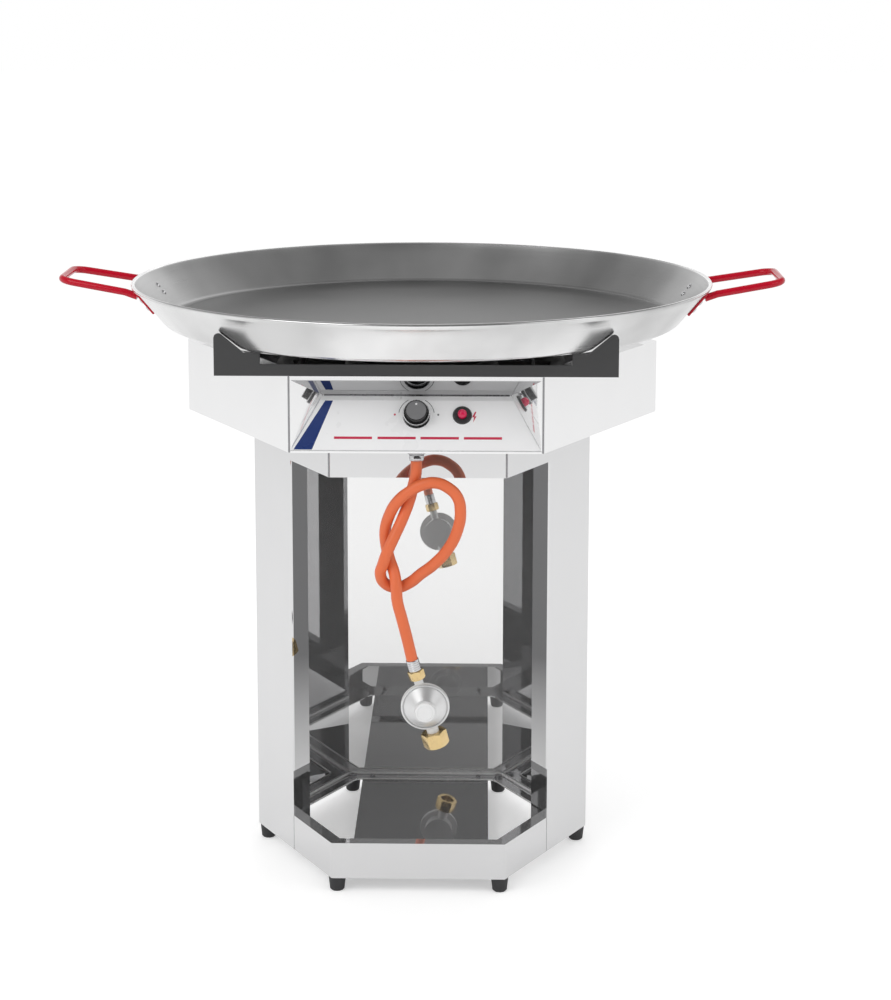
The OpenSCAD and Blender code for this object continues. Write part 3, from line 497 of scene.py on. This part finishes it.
# painted shade: a darker copy of the polished steel for the bottle shelf under the box
shelfSteelPaintedShade = polished("shelfSteelPaintedShade", (0.50, 0.50, 0.505), 0.01, 0.03, cloud=20, dim=0.12, metallic=0.97)
boxSteel = polished("boxSteel", (0.87, 0.87, 0.873), 0.02, 0.05, metallic=0.93)
# painted shade: a darker copy of the polished steel for the recess hood
hoodSteelPaintedShade = polished("hoodSteelPaintedShade", (0.50, 0.50, 0.505), 0.015, 0.04)
fasciaSteel = polished("fasciaSteel", (0.86, 0.86, 0.865), 0.25, 0.35, metallic=0.2)
# a dark grey tone for the box floor
darkBoxFloorSteel = polished("darkBoxFloorSteel", (0.16, 0.16, 0.16), 0.3, 0.45, cloud=30, dim=0.3)
# dark grey for the strips along the bends and seams: painted shade at the bends and the deep edge, dark joints at the
# seams
foldSteel = polished("foldSteel", (0.30, 0.30, 0.31), 0.2, 0.35, cloud=40)
# painted highlight: near-white, barely metallic steel for the lip edges
edgeSteelPaintedHighlight = polished("edgeSteelPaintedHighlight", (0.95, 0.95, 0.95), 0.2, 0.3, cloud=40, metallic=0.15)
screwSteel = polished("screwSteel", (0.66, 0.66, 0.67), 0.16, 0.3, cloud=120)
brassMetal = polished("brassMetal", (0.80, 0.60, 0.30), 0.18, 0.32, cloud=90, dim=0.2)
copperMetal = polished("copperMetal", (0.72, 0.40, 0.26), 0.2, 0.36, cloud=60, dim=0.25)
clampSteel = polished("clampSteel", (0.42, 0.42, 0.43), 0.15, 0.3, cloud=200, dim=0.3)
# painted light: a paler, barely metallic copy of the regulator's alloy for the regulator body
regulatorCastPaintedLight = skinned("regulatorCastPaintedLight", (0.80, 0.80, 0.80), 0.3, 0.42, grain=1400, depth=0.12, metallic=0.1)
regulatorAlloy = skinned("regulatorAlloy", (0.72, 0.72, 0.72), 0.34, 0.46, grain=1400, depth=0.12, metallic=0.8)
panSteel = makePanSteel()
handleRed = skinned("handleRed", (0.48, 0.002, 0.018), 0.1, 0.16, grain=240, depth=0.04, specular=0.3)
supportBlack = skinned("supportBlack", (0.042, 0.042, 0.043), 0.3, 0.42, grain=1200, depth=0.1)
hoseOrange = skinned("hoseOrange", (0.80, 0.165, 0.055), 0.36, 0.5, grain=700, depth=0.12, mottle=0.08)
knobBlack = skinned("knobBlack", (0.018, 0.018, 0.019), 0.28, 0.38, grain=1600, depth=0.06)
capGrey = skinned("capGrey", (0.19, 0.19, 0.195), 0.34, 0.46, grain=1600, depth=0.06)
buttonRed = skinned("buttonRed", (0.68, 0.004, 0.075), 0.12, 0.2, grain=600, depth=0.02, coat=0.2)
footRubber = skinned("footRubber", (0.03, 0.03, 0.032), 0.55, 0.7, grain=800, depth=0.2)
labelFilm = skinned("labelFilm", (0.90, 0.90, 0.905), 0.27, 0.3, grain=300, depth=0.006, mottle=0.012)
ceramicWhite = skinned("ceramicWhite", (0.80, 0.78, 0.74), 0.18, 0.3, grain=500, depth=0.05, coat=0.3)
burnerIron = skinned("burnerIron", (0.07, 0.068, 0.066), 0.5, 0.68, grain=520, depth=0.5, distance=0.0006,
                     mottle=0.3, metallic=0.6)
capWhite = skinned("capWhite", (0.86, 0.86, 0.86), 0.3, 0.42, grain=900, depth=0.04, mottle=0.02)
inkBlue = skinned("inkBlue", (0.010, 0.034, 0.17), 0.25, 0.35, grain=400, depth=0.01, mottle=0.1)
inkRed = skinned("inkRed", (0.58, 0.02, 0.07), 0.3, 0.4, grain=400, depth=0.01, mottle=0.1)
inkGrey = skinned("inkGrey", (0.16, 0.16, 0.165), 0.3, 0.4, grain=400, depth=0.01, mottle=0.1)
slotFinish = {
    "stand_steel": standSteel, "box_steel": boxSteel, "foot_rubber": footRubber, "screw_steel": screwSteel,
    "label_film": labelFilm, "knob_black": knobBlack, "cap_grey": capGrey, "button_red": buttonRed,
    "brass": brassMetal, "copper": copperMetal, "ceramic": ceramicWhite, "burner_iron": burnerIron,
    "support_black": supportBlack, "hose_orange": hoseOrange, "regulator_alloy": regulatorAlloy,
    "pan_steel": panSteel, "handle_red": handleRed,
}
for entry in frame["record"]["subparts"]:
    dress(nodes[entry["node"]], slotFinish[entry["material_slot"]])
for node, finish in (("box_floor", darkBoxFloorSteel), ("left_panel", panelSteel), ("right_panel", panelSteel),
                     ("back_panel", backSteel), ("bottle_shelf", shelfSteelPaintedShade), ("recess_hood", hoodSteelPaintedShade),
                     ("control_fascia", fasciaSteel), ("regulator_body", regulatorCastPaintedLight), ("hose_tail", clampSteel)):
    dress(nodes[node], finish)
print("finishes on", len(nodes), "nodes")


# gas hose, tied in one loose loop

hose = {
    "mouth": (0, -257.324, 613),
    "steps": [(0, 0, 0), (-1, 1, -19), (-4, 4, -33), (-9, 3, -53), (-19, -4, -79), (-30, -12, -102),
              (-38, -14, -120), (-44, -11, -138), (-47, -7, -149), (-41, 0, -165), (-25, 4, -171),
              (-10, 3, -165), (5, -1, -152), (22, -5, -138), (41, -8, -116), (53, -10, -91), (57, -12, -65),
              (53, -13, -46), (42, -14, -34), (25, -14, -27), (7, -14, -30), (-9, -13, -39), (-25, -8, -54),
              (-36, -1, -75), (-41, 4, -95), (-40, 4, -113), (-36, 3, -131), (-29, -7, -149), (-26, -14, -167),
              (-25, -15, -183), (-19, -14, -208), (-13, -11, -233), (-6, -7, -265)],
    "across": 15,
    "length": 0.68,
    "fineness": 8,
}


def makeHose():
    data = bpy.data.curves.new("gasHose", "CURVE")
    data.dimensions = "3D"
    spline = data.splines.new("BEZIER")
    spline.bezier_points.add(len(hose["steps"]) - 1)
    for point, step in zip(spline.bezier_points, hose["steps"]):
        point.co = mm(*hose["mouth"]) + mm(*step)
        point.handle_left_type = point.handle_right_type = "AUTO"
    spline.resolution_u = data.bevel_resolution = hose["fineness"]
    data.bevel_depth = hose["across"] / 2000
    data.use_fill_caps = True
    obj = bpy.data.objects.new("gasHose", data)
    scene.collection.objects.link(obj)
    return obj


gasHose = seat(makeHose(), "stand", hoseOrange, "hose_orange", "gas_hose")
print("hose laid")


# pan

def makePan():
    p = panShape
    lean = wallAngle * 180 / pi
    centre = (p["baseR"] - p["fillet"] * tan(wallAngle / 2), p["baseZ"] + p["fillet"])
    endZ = p["baseZ"] + p["depth"] - p["bead"]
    outR = p["baseR"] + (endZ - p["baseZ"]) / tan(wallAngle)
    inR = outR - p["wall"] / sin(wallAngle)
    bead = (p["rimR"] - p["bead"], endZ)
    low = [(r, p["baseZ"]) for r in p["baseSteps"]]
    outer = arc(centre, p["fillet"], 0, lean, 8)
    lip = arc(bead, p["bead"], *p["beadArc"])
    inner = arc(centre, p["fillet"] - p["wall"], lean, 0, 8)
    high = [(r, p["baseZ"] + p["wall"]) for r in reversed(p["baseSteps"])]
    (outX, outZ), (inX, inZ) = outer[-1], inner[0]
    mid = [(outR + (outX - outR) * t, endZ + (outZ - endZ) * t) for t in reversed(p["wallSteps"])]
    midIn = [(inR + (inX - inR) * t, endZ + (inZ - endZ) * t) for t in p["wallSteps"]]
    obj = turned("panBowl", low + outer + mid + lip + midIn + inner + high, steps=p["turnSteps"])
    smooth(obj, 50)
    return obj


seat(makePan(), "pan", panSteel, "pan_steel", "pan")
print("pan turned")


# handles: bent rod with flat lugs

handle = {
    "route": [(385.2, 68.5, 797.0), (402.2, 66.3, 802.6), (472.2, 59.8, 814.4), (477.4, 58.7, 815.3),
              (482.2, 56.3, 816.1), (486.3, 52.7, 816.8), (489.4, 48.3, 817.3), (491.3, 43.3, 817.7),
              (492.0, 37.9, 817.8)],
    "rod": 10,
    "lugTurn": 10.1, "lugRoot": (388.5, 799.3), "lug": (16, 41, 3.5), "lugMid": -11.5, "lugGap": 0.05,
    "lugRound": 0.0012,
}


def makeHandle(side, name):
    half = [Vector(p) for p in handle["route"]]
    route = half + [Vector((p.x, -p.y, p.z)) for p in reversed(half)]
    data = bpy.data.curves.new(name, "CURVE")
    data.dimensions = "3D"
    spline = data.splines.new("POLY")
    spline.points.add(len(route) - 1)
    for point, place in zip(spline.points, route):
        point.co = (place.x * side / 1000, place.y / 1000, place.z / 1000, 1)
    data.bevel_depth = handle["rod"] / 2000
    data.bevel_resolution = 6
    data.use_fill_caps = True
    rod = bpy.data.objects.new(name, data)
    scene.collection.objects.link(rod)
    pickOnly(rod)
    bpy.ops.object.convert(target="MESH")
    rod = bpy.context.object
    parts = [rod]
    r, z = handle["lugRoot"]
    w, long, thick = handle["lug"]
    for way in (1, -1):
        turn = radians(handle["lugTurn"] * way)
        out = Vector((cos(turn) * side, sin(turn), 0))
        up = out * cos(wallAngle) + Vector((0, 0, sin(wallAngle)))
        face = out * sin(wallAngle) - Vector((0, 0, cos(wallAngle)))
        across = up.cross(face)
        middle = out * r + Vector((0, 0, z)) + up * handle["lugMid"] + face * (thick / 2 + handle["lugGap"])
        clearPick()
        bpy.ops.mesh.primitive_cube_add(size=1)
        lug = bpy.context.object
        lug.scale = mm(w, long, thick)
        bpy.ops.object.transform_apply(scale=True)
        roundEdges(lug, handle["lugRound"], 3)
        spot = Matrix((across, up, face)).transposed().to_4x4()
        spot.translation = middle / 1000
        applyPlace(lug, spot)
        parts.append(lug)
    obj = joinAll(parts, name)
    bpy.ops.object.mode_set(mode="EDIT")
    turnOutwards()
    smooth(obj, 40)
    return obj


for side, name, node in ((-1, "leftHandle", "left_handle"), (1, "rightHandle", "right_handle")):
    seat(makeHandle(side, name), "pan", handleRed, "handle_red", node)
print("handles bent")


# control label prints, in the fascia's plane: across, and down from the deep edge

fascia = {"deep": (-242.82, 695), "slope": atan2(65.5, 39.5), "drop": 27}


def fasciaSpot(x, down, lift):
    c, n = cos(fascia["slope"]), sin(fascia["slope"])
    spot = Matrix(((1, 0, 0), (0, c, -n), (0, n, c))).to_4x4()
    y = fascia["deep"][0] - down * c - lift * n
    z = fascia["deep"][1] - down * n + lift * c
    spot.translation = mm(x, y, z)
    return spot


labelPrint = {
    "lift": 0.43, "ink": 0.04,
    "stripe": [(-118.2, -7.6), (-108.2, -7.6), (-133.5, -74.6), (-157.2, -74.6)],
    "rules": [(-105.6, -56.7), (-49.7, -0.6), (5.5, 54.8), (61.2, 110.1)], "ruleAt": 58.4, "ruleTall": 3.4,
    "spark": [(0.8, 7.2), (-3.0, -0.6), (-0.4, -0.2), (-1.6, -7.4), (2.8, 1.2), (0.2, 0.8), (2.6, 7.2)],
    "sparkAt": (74.5, 29.4),
    "dialRadius": 22.5, "dialWide": 0.8, "dialSweep": [(8, 62), (118, 172)], "dialSteps": 14,
    "dialDot": 1.4, "dialDots": (-28, 28), "dialDotRise": 0.5,
}


def ring(r, turnFrom, turnTo, steps):
    turns = [radians(turnFrom + (turnTo - turnFrom) * i / steps) for i in range(steps + 1)]
    return [(r * cos(a), r * sin(a)) for a in turns]


def makePrints():
    p = labelPrint
    onLabel = fasciaSpot(0, 0, p["lift"])
    onKnob = fasciaSpot(0, fascia["drop"], p["lift"])
    stripe = applyPlace(outlined("labelStripe", p["stripe"], p["ink"]), onLabel)
    reds, greys = [], []
    for x0, x1 in p["rules"]:
        y0, y1 = -p["ruleAt"] - p["ruleTall"] / 2, -p["ruleAt"] + p["ruleTall"] / 2
        reds.append(applyPlace(outlined("rule", [(x0, y0), (x1, y0), (x1, y1), (x0, y1)], p["ink"]), onLabel))
    reds.append(applyPlace(outlined("spark", p["spark"], p["ink"]), fasciaSpot(*p["sparkAt"], p["lift"])))
    dot = ring(p["dialDot"], *fullTurn)
    for x, group in zip(p["dialDots"], (reds, greys)):
        spot = fasciaSpot(x, fascia["drop"] - p["dialDotRise"], p["lift"])
        group.append(applyPlace(outlined("dot", dot, p["ink"]), spot))
    for a, b in p["dialSweep"]:
        outer = ring(p["dialRadius"] + p["dialWide"], a, b, p["dialSteps"])
        inner = ring(p["dialRadius"], b, a, p["dialSteps"])
        greys.append(applyPlace(outlined("arc", outer + inner, p["ink"]), onKnob))
    return stripe, joinAll(reds, "labelRules"), joinAll(greys, "labelDial")


for piece, ink in zip(makePrints(), (inkBlue, inkRed, inkGrey)):
    seat(piece, "stand", ink, "label_film")
print("label printed")


# knob trim and igniter dome

knobTrim = {
    "lift": 4.7, "bandAt": 4.5, "bandR": 16.4, "band": 0.7,
    "dotAt": 8.6, "dotR": 1.3, "dotSunk": -0.2, "dotEdge": (0.1, 0.3, 0.35), "topAt": 14.0,
    "buttonAt": 59, "buttonR": 5.9, "buttonLow": -0.6, "buttonHigh": 11.9, "crown": 5.0, "crownStep": 12,
}


def makeKnobTrim():
    k = knobTrim
    bandRing = arc((k["bandR"], k["bandAt"] + k["lift"]), k["band"], *fullTurn)
    band = turned("knobBand", bandRing, steps=72, closed=True)
    smooth(band, 60)
    applyPlace(band, fasciaSpot(0, fascia["drop"], 0))
    r, low, (side, edge, top) = k["dotR"], k["dotSunk"], k["dotEdge"]
    dot = turned("knobDot", [(0, low), (r, low), (r, side), (r * 0.7, edge), (0, top)], steps=24)
    smooth(dot, 60)
    applyPlace(dot, fasciaSpot(0, fascia["drop"] - k["dotAt"], k["topAt"] + k["lift"]))
    r, low, high, crown, step = k["buttonR"], k["buttonLow"], k["buttonHigh"], k["crown"], k["crownStep"]
    dome = [(0, low), (r, low), (r, high - crown)]
    turns = [radians(a) for a in range(step, 90 - step, step)]
    dome += [(r * cos(a), high - crown + crown * sin(a)) for a in turns] + [(0, high)]
    button = turned("igniterDome", dome, steps=48)
    smooth(button, 50)
    applyPlace(button, fasciaSpot(k["buttonAt"], fascia["drop"], 0))
    return band, dot, button


knobBand, knobDot, igniterDome = makeKnobTrim()
seat(knobBand, "knob", screwSteel, "screw_steel")
seat(knobDot, "knob", capWhite, "label_film")
seat(igniterDome, "igniter_button", buttonRed, "button_red", "igniter_button")
print("controls trimmed")


# regulator and nuts, in steps down the regulator's axis from the end of the hose

regulator = {
    "end": (-6, -264.324, 348), "roll": 165, "pitch": -6, "middle": 66,
    "flangeR": 32, "flangeHigh": 9, "rimR": 1.6,
    "coneR": 28.4, "coneTop": 15, "coneHigh": 24, "capR": 13, "capHigh": 29, "coverGap": 0.05, "capSunk": 0.2,
    "coneFoot": [(0, 0), (0, 0.8), (-0.9, 1.7)], "coneEdge": [(1.1, -1.0), (0, -0.2), (-0.8, 0)],
    "capSeat": 0.4, "capEdge": [(0, -1.2), (-0.4, -0.4), (-1.3, 0), (-2.6, 0), (-2.9, -0.5), (-3.4, -0.5), (-3.7, 0)],
    "nut": (19, 12, 6.4), "nutFrom": 16,  # across flats, length, bore
    "coupling": (30, 20, 10.9, 4, 8.3), "couplingFrom": 106,  # the same, shoulder and neck
    "ferruleR": 8.5, "ferruleLong": 16, "ferruleEnds": 2, "ribs": 4,
    "ribSteps": [(0, 0.15), (-0.5, 0.3), (-0.5, 0.55), (0, 0.7)],  # outwards, share of a rib
}
hexNut = {
    "cornerPlay": 0.2, "facePlay": 0.1, "chamfer": 0.6, "lead": 1.2, "flare": 1.3, "overcut": 2,
    "edge": 0.0003, "cutWeld": 0.0001,
}


def regulatorSpot(step, faceFront=False):
    roll, pitch = radians(regulator["roll"]), radians(regulator["pitch"])
    spot = Matrix.Rotation(roll, 4, "Y") @ Matrix.Rotation(pitch, 4, "X")
    place = mm(*regulator["end"]) + (spot @ Vector((0, 0, 1))) * step / 1000
    if faceFront:
        spot = spot @ Matrix.Rotation(pi / 2, 4, "X")
    spot.translation = place
    return spot


def makeRegulatorFront():
    g = regulator
    rimRing = arc((g["flangeR"] - g["rimR"], g["flangeHigh"]), g["rimR"], *fullTurn)
    rim = turned("regulatorRim", rimRing, 96, closed=True)
    low, high, capHigh = g["flangeHigh"] + g["coverGap"], g["coneHigh"], g["capHigh"]
    foot = [(g["coneR"] + r, low + z) for r, z in g["coneFoot"]]
    edge = [(g["coneTop"] + r, high + z) for r, z in g["coneEdge"]]
    seatEdge = [(g["capR"] + g["capSeat"], high), (0, high - 0.3)]
    cone = turned("regulatorCone", [(0, low)] + foot + edge + seatEdge, 96)
    sunk = high - g["capSunk"]
    edge = [(g["capR"] + r, capHigh + z) for r, z in g["capEdge"]]
    cap = turned("regulatorCap", [(0, sunk), (g["capR"], sunk)] + edge + [(0, capHigh)], 72)
    for piece in (rim, cone, cap):
        smooth(piece, 32)
        applyPlace(piece, regulatorSpot(g["middle"], True))
    return rim, cone, cap


def makeHexNut(name, af, length, bore, shoulder=0, neck=0):
    h = hexNut
    corner = af / 2 / cos(pi / 6)
    clearPick()
    bpy.ops.mesh.primitive_cylinder_add(vertices=6, radius=corner / 1000, depth=length / 1000,
                                        location=mm(0, 0, length / 2), rotation=(0, 0, pi / 6))
    nut = bpy.context.object
    nut.name = nut.data.name = name
    applyPlace(nut)
    reach, face = corner + h["cornerPlay"], af / 2 + h["facePlay"]
    drop = (reach - face) * h["chamfer"]
    body = turned("nutChamfer", [(0, 0), (face, 0), (reach, drop), (reach, length - drop), (face, length),
                                 (0, length)], 64)
    foot, wide, top = shoulder if shoulder else -1, bore + h["flare"], length + h["overcut"]
    cutter = turned("nutBore", [(0, foot), (bore, foot), (bore, length - h["lead"]), (wide, length + 0.1), (wide, top),
                                (0, top)], 48)
    steps = [(body, "INTERSECT"), (cutter, "DIFFERENCE")]
    if neck:
        low, high = -h["overcut"], shoulder + 1
        steps.append((turned("nutNeck", [(0, low), (neck, low), (neck, high), (0, high)], 40), "DIFFERENCE"))
    for tool, way in steps:
        mod = nut.modifiers.new(way.lower(), "BOOLEAN")
        mod.operation = way
        mod.object = tool
        mod.solver = "EXACT"
        applyModifiers(nut)
        bpy.data.objects.remove(tool)
    weld(nut, h["cutWeld"])  # slivers of the cuts go before the bevel
    roundEdges(nut, h["edge"], 2, 25)
    weld(nut, mergeReach)
    smooth(nut, 30)
    return nut


def makeFerrule():
    g = regulator
    r, long, ends = g["ferruleR"], g["ferruleLong"], g["ferruleEnds"]
    step = (long - 2 * ends) / g["ribs"]
    profile = [(r - 1.4, 0.2), (r - 0.3, 0.2), (r, 0.6)]
    for i in range(g["ribs"]):
        profile += [(r + out, ends + i * step + step * share) for out, share in g["ribSteps"]]
    profile += [(r, long - 1), (r - 0.4, long - 0.1), (r - 2, long - 0.1), (r - 2, long - 4)]
    ferrule = turned("hoseFerrule", profile, 56, closed=True)
    smooth(ferrule, 40)
    return applyPlace(ferrule, regulatorSpot(0))


tailClamp = {
    "at": (0, -257.324, 613), "inner": 8.9, "outer": 9.7, "from": 0.5, "ridges": 3, "ridge": 2.2,
    "ridgeSteps": [(-0.4, 0.1), (0, 0.4), (0, 1.6), (-0.4, 1.9)],  # outwards, up from the ridge's foot
    "screwR": 2.8, "screwHalf": 5, "screwAt": (1.5, -11.2, 3.8),
}


def makeTailClamp():
    c = tailClamp
    profile = [(c["inner"], c["from"])]
    for i in range(c["ridges"]):
        low = c["from"] + i * c["ridge"]
        profile += [(c["outer"] + out, low + up) for out, up in c["ridgeSteps"]]
    profile.append((c["inner"], c["from"] + c["ridges"] * c["ridge"]))
    band = turned("clampBand", profile, 48, closed=True)
    r, half = c["screwR"], c["screwHalf"]
    screw = turned("clampScrew", [(0, -half), (r - 0.5, -half), (r, 0.5 - half), (r, half - 2), (r - 0.9, half - 1.8),
                                  (r - 0.9, half - 0.3), (r - 1.2, half), (0, half)], 24)
    applyPlace(screw, Matrix.Translation(mm(*c["screwAt"])) @ lying)
    clamp = joinAll([band, screw], "tailClamp")
    smooth(clamp, 40)
    return applyPlace(clamp, Matrix.Translation(mm(*c["at"])))


seat(makeTailClamp(), "stand", screwSteel, "screw_steel")
regulatorRim, regulatorCone, regulatorCap = makeRegulatorFront()
couplingNut = applyPlace(makeHexNut("couplingNut", *regulator["coupling"]), regulatorSpot(regulator["couplingFrom"]))
hoseNut = applyPlace(makeHexNut("hoseNut", *regulator["nut"]), regulatorSpot(regulator["nutFrom"]))
hoseFerrule = makeFerrule()
seat(regulatorRim, "stand", regulatorAlloy, "regulator_alloy")
seat(regulatorCone, "stand", regulatorAlloy, "regulator_alloy", "regulator_cover")
seat(regulatorCap, "stand", capWhite, "label_film")
seat(couplingNut, "coupling_nut", brassMetal, "brass", "coupling_nut")
seat(hoseNut, "stand", brassMetal, "brass", "hose_nut")
seat(hoseFerrule, "stand", screwSteel, "screw_steel", "hose_ferrule")
print("regulator fitted")


# folded corners and seams of the box and the stand, the recess's deep edge, and the bottom lips at the back; the dark
# strips along the bends and the deep edge are painted shade, those along the seams dark joints, and the lip edges
# carry a painted highlight

folds = {
    "corner": (1.5, 1.0), "seam": (0.8, 0.5),  # round, sunk
    "lines": [("corner", (163.0, -282.3), 627.3, 726.7), ("corner", (117.5, -203.5), 577.3, 626.7),
              ("seam", (176.25, -101.76), 20.3, 69.7)],
    "deepEdge": ((0, -243.4, 694.6), 120, 0.7),  # between hood and fascia: place, half its length, round
    "tip": 0.7, "ease": 0.4, "steps": 16,
}


def makeFolds():
    strips = []
    ends = folds["tip"], folds["ease"], folds["steps"]
    for kind, (x, y), low, high in folds["lines"]:
        r, sink = folds[kind]
        inwards = -Vector((x, y)).normalized() * sink
        for side in (1, -1):
            strip = turnedRod("fold", low, high, r, *ends)
            strips.append(applyPlace(strip, Matrix.Translation(mm(side * (x + inwards.x), y + inwards.y, 0))))
    place, half, r = folds["deepEdge"]
    strips.append(applyPlace(turnedRod("fold", -half, half, r, *ends), Matrix.Translation(mm(*place)) @ lying))
    obj = joinAll(strips, "foldedCorners")
    smooth(obj, 40)
    return obj


# painted highlight: thin rounded strips along the lips' edges, finished near-white
lipEdges = {
    "sides": (30, 90, 150),
    "lines": [(200.4, 23.2, 115, 2.0), (178.7, 21.8, 102, 1.1)],  # from the middle, height, half length, round
    "tip": 0.6, "ease": 0.5, "steps": 12,
}


def makeLipEdges():
    strips = []
    for side in lipEdges["sides"]:
        for out, high, half, r in lipEdges["lines"]:
            strip = turnedRod("lipEdge", -half, half, r, lipEdges["tip"], lipEdges["ease"], lipEdges["steps"])
            spot = Matrix.Rotation(radians(side - 90), 4, "Z") @ (Matrix.Translation(mm(0, out, high)) @ lying)
            strips.append(applyPlace(strip, spot))
    obj = joinAll(strips, "lipEdges")
    smooth(obj, 40)
    return obj


seat(makeFolds(), "stand", foldSteel, "stand_steel")
seat(makeLipEdges(), "stand", edgeSteelPaintedHighlight, "stand_steel")
print("corners and lips folded")


# floor, light and world

studio = {
    "floorSize": 40, "floorShade": (0.84, 0.84, 0.84), "floorSeen": 0.36, "floorMirrored": 0.27,
    "floorRough": 0.9, "skyPlain": 0.78, "ceiling": 0.34, "frontSky": 0.28,
    "ceilingFrom": (0.12, 0.5), "frontFrom": (-0.75, -0.3), "aim": (0, 0, 0.5),
    "key": ((-2.0, -2.2, 2.6), 2.0, 30), "fill": ((2.4, -1.6, 2.2), 1.8, 10), "back": ((0.3, 2.4, 2.6), 1.8, 8),
}


def rayKinds(tree):
    # 1 on rays from the camera, and 1 on mirrored rays
    path = add(tree, "ShaderNodeLightPath")
    mirrored = calc(tree, "MAXIMUM", path.outputs["Is Glossy Ray"], path.outputs["Is Transmission Ray"])
    return path.outputs["Is Camera Ray"], mirrored


def makeFloor():
    clearPick()
    bpy.ops.mesh.primitive_plane_add(size=studio["floorSize"])
    obj = bpy.context.object
    obj.name = obj.data.name = "floor"
    finish, tree, shader = startFinish("paleFloor", studio["floorShade"], 0)
    shader.inputs["Roughness"].default_value = studio["floorRough"]
    shader.inputs["Specular IOR Level"].default_value = 0
    seen, mirrored = rayKinds(tree)
    glow = add(tree, "ShaderNodeEmission")
    tree.links.new(calc(tree, "ADD", calc(tree, "MULTIPLY", seen, studio["floorSeen"]),
                        calc(tree, "MULTIPLY", mirrored, studio["floorMirrored"])), glow.inputs["Strength"])
    both = add(tree, "ShaderNodeAddShader")
    tree.links.new(shader.outputs[0], both.inputs[0])
    tree.links.new(glow.outputs[0], both.inputs[1])
    tree.links.new(both.outputs[0], tree.nodes["Material Output"].inputs["Surface"])
    dress(obj, finish)


def makeSky():
    world = bpy.data.worlds.new("studioSky")
    scene.world = world
    world.use_nodes = True
    tree = world.node_tree
    plain = tree.nodes["Background"]
    plain.inputs["Color"].default_value = (1, 1, 1, 1)
    plain.inputs["Strength"].default_value = studio["skyPlain"]
    place = add(tree, "ShaderNodeTexCoord")
    split = add(tree, "ShaderNodeSeparateXYZ")
    tree.links.new(place.outputs["Generated"], split.inputs[0])
    backdrop = spread(tree, split.outputs["Z"], *studio["ceilingFrom"], 1.0, studio["ceiling"])
    room = spread(tree, split.outputs["Y"], *studio["frontFrom"], studio["frontSky"], 1.0)  # dark behind the camera
    seen, mirrored = rayKinds(tree)
    bright = add(tree, "ShaderNodeBackground", Color=(1, 1, 1, 1))
    tree.links.new(calc(tree, "MAXIMUM", seen, calc(tree, "MULTIPLY", backdrop, room)), bright.inputs["Strength"])
    mix = add(tree, "ShaderNodeMixShader")
    tree.links.new(calc(tree, "MAXIMUM", seen, mirrored), mix.inputs[0])
    tree.links.new(plain.outputs[0], mix.inputs[1])
    tree.links.new(bright.outputs[0], mix.inputs[2])
    tree.links.new(mix.outputs[0], tree.nodes["World Output"].inputs["Surface"])


def makeLamp(name, place, size, power):
    data = bpy.data.lights.new(name, "AREA")
    data.shape = "SQUARE"
    data.size = size
    data.energy = power
    lamp = bpy.data.objects.new(name, data)
    lamp.location = place
    lamp.rotation_euler = (Vector(studio["aim"]) - Vector(place)).to_track_quat("-Z", "Y").to_euler()
    scene.collection.objects.link(lamp)


makeFloor()
makeSky()
for name in ("key", "fill", "back"):
    makeLamp(name + "Lamp", *studio[name])
print("studio lit")
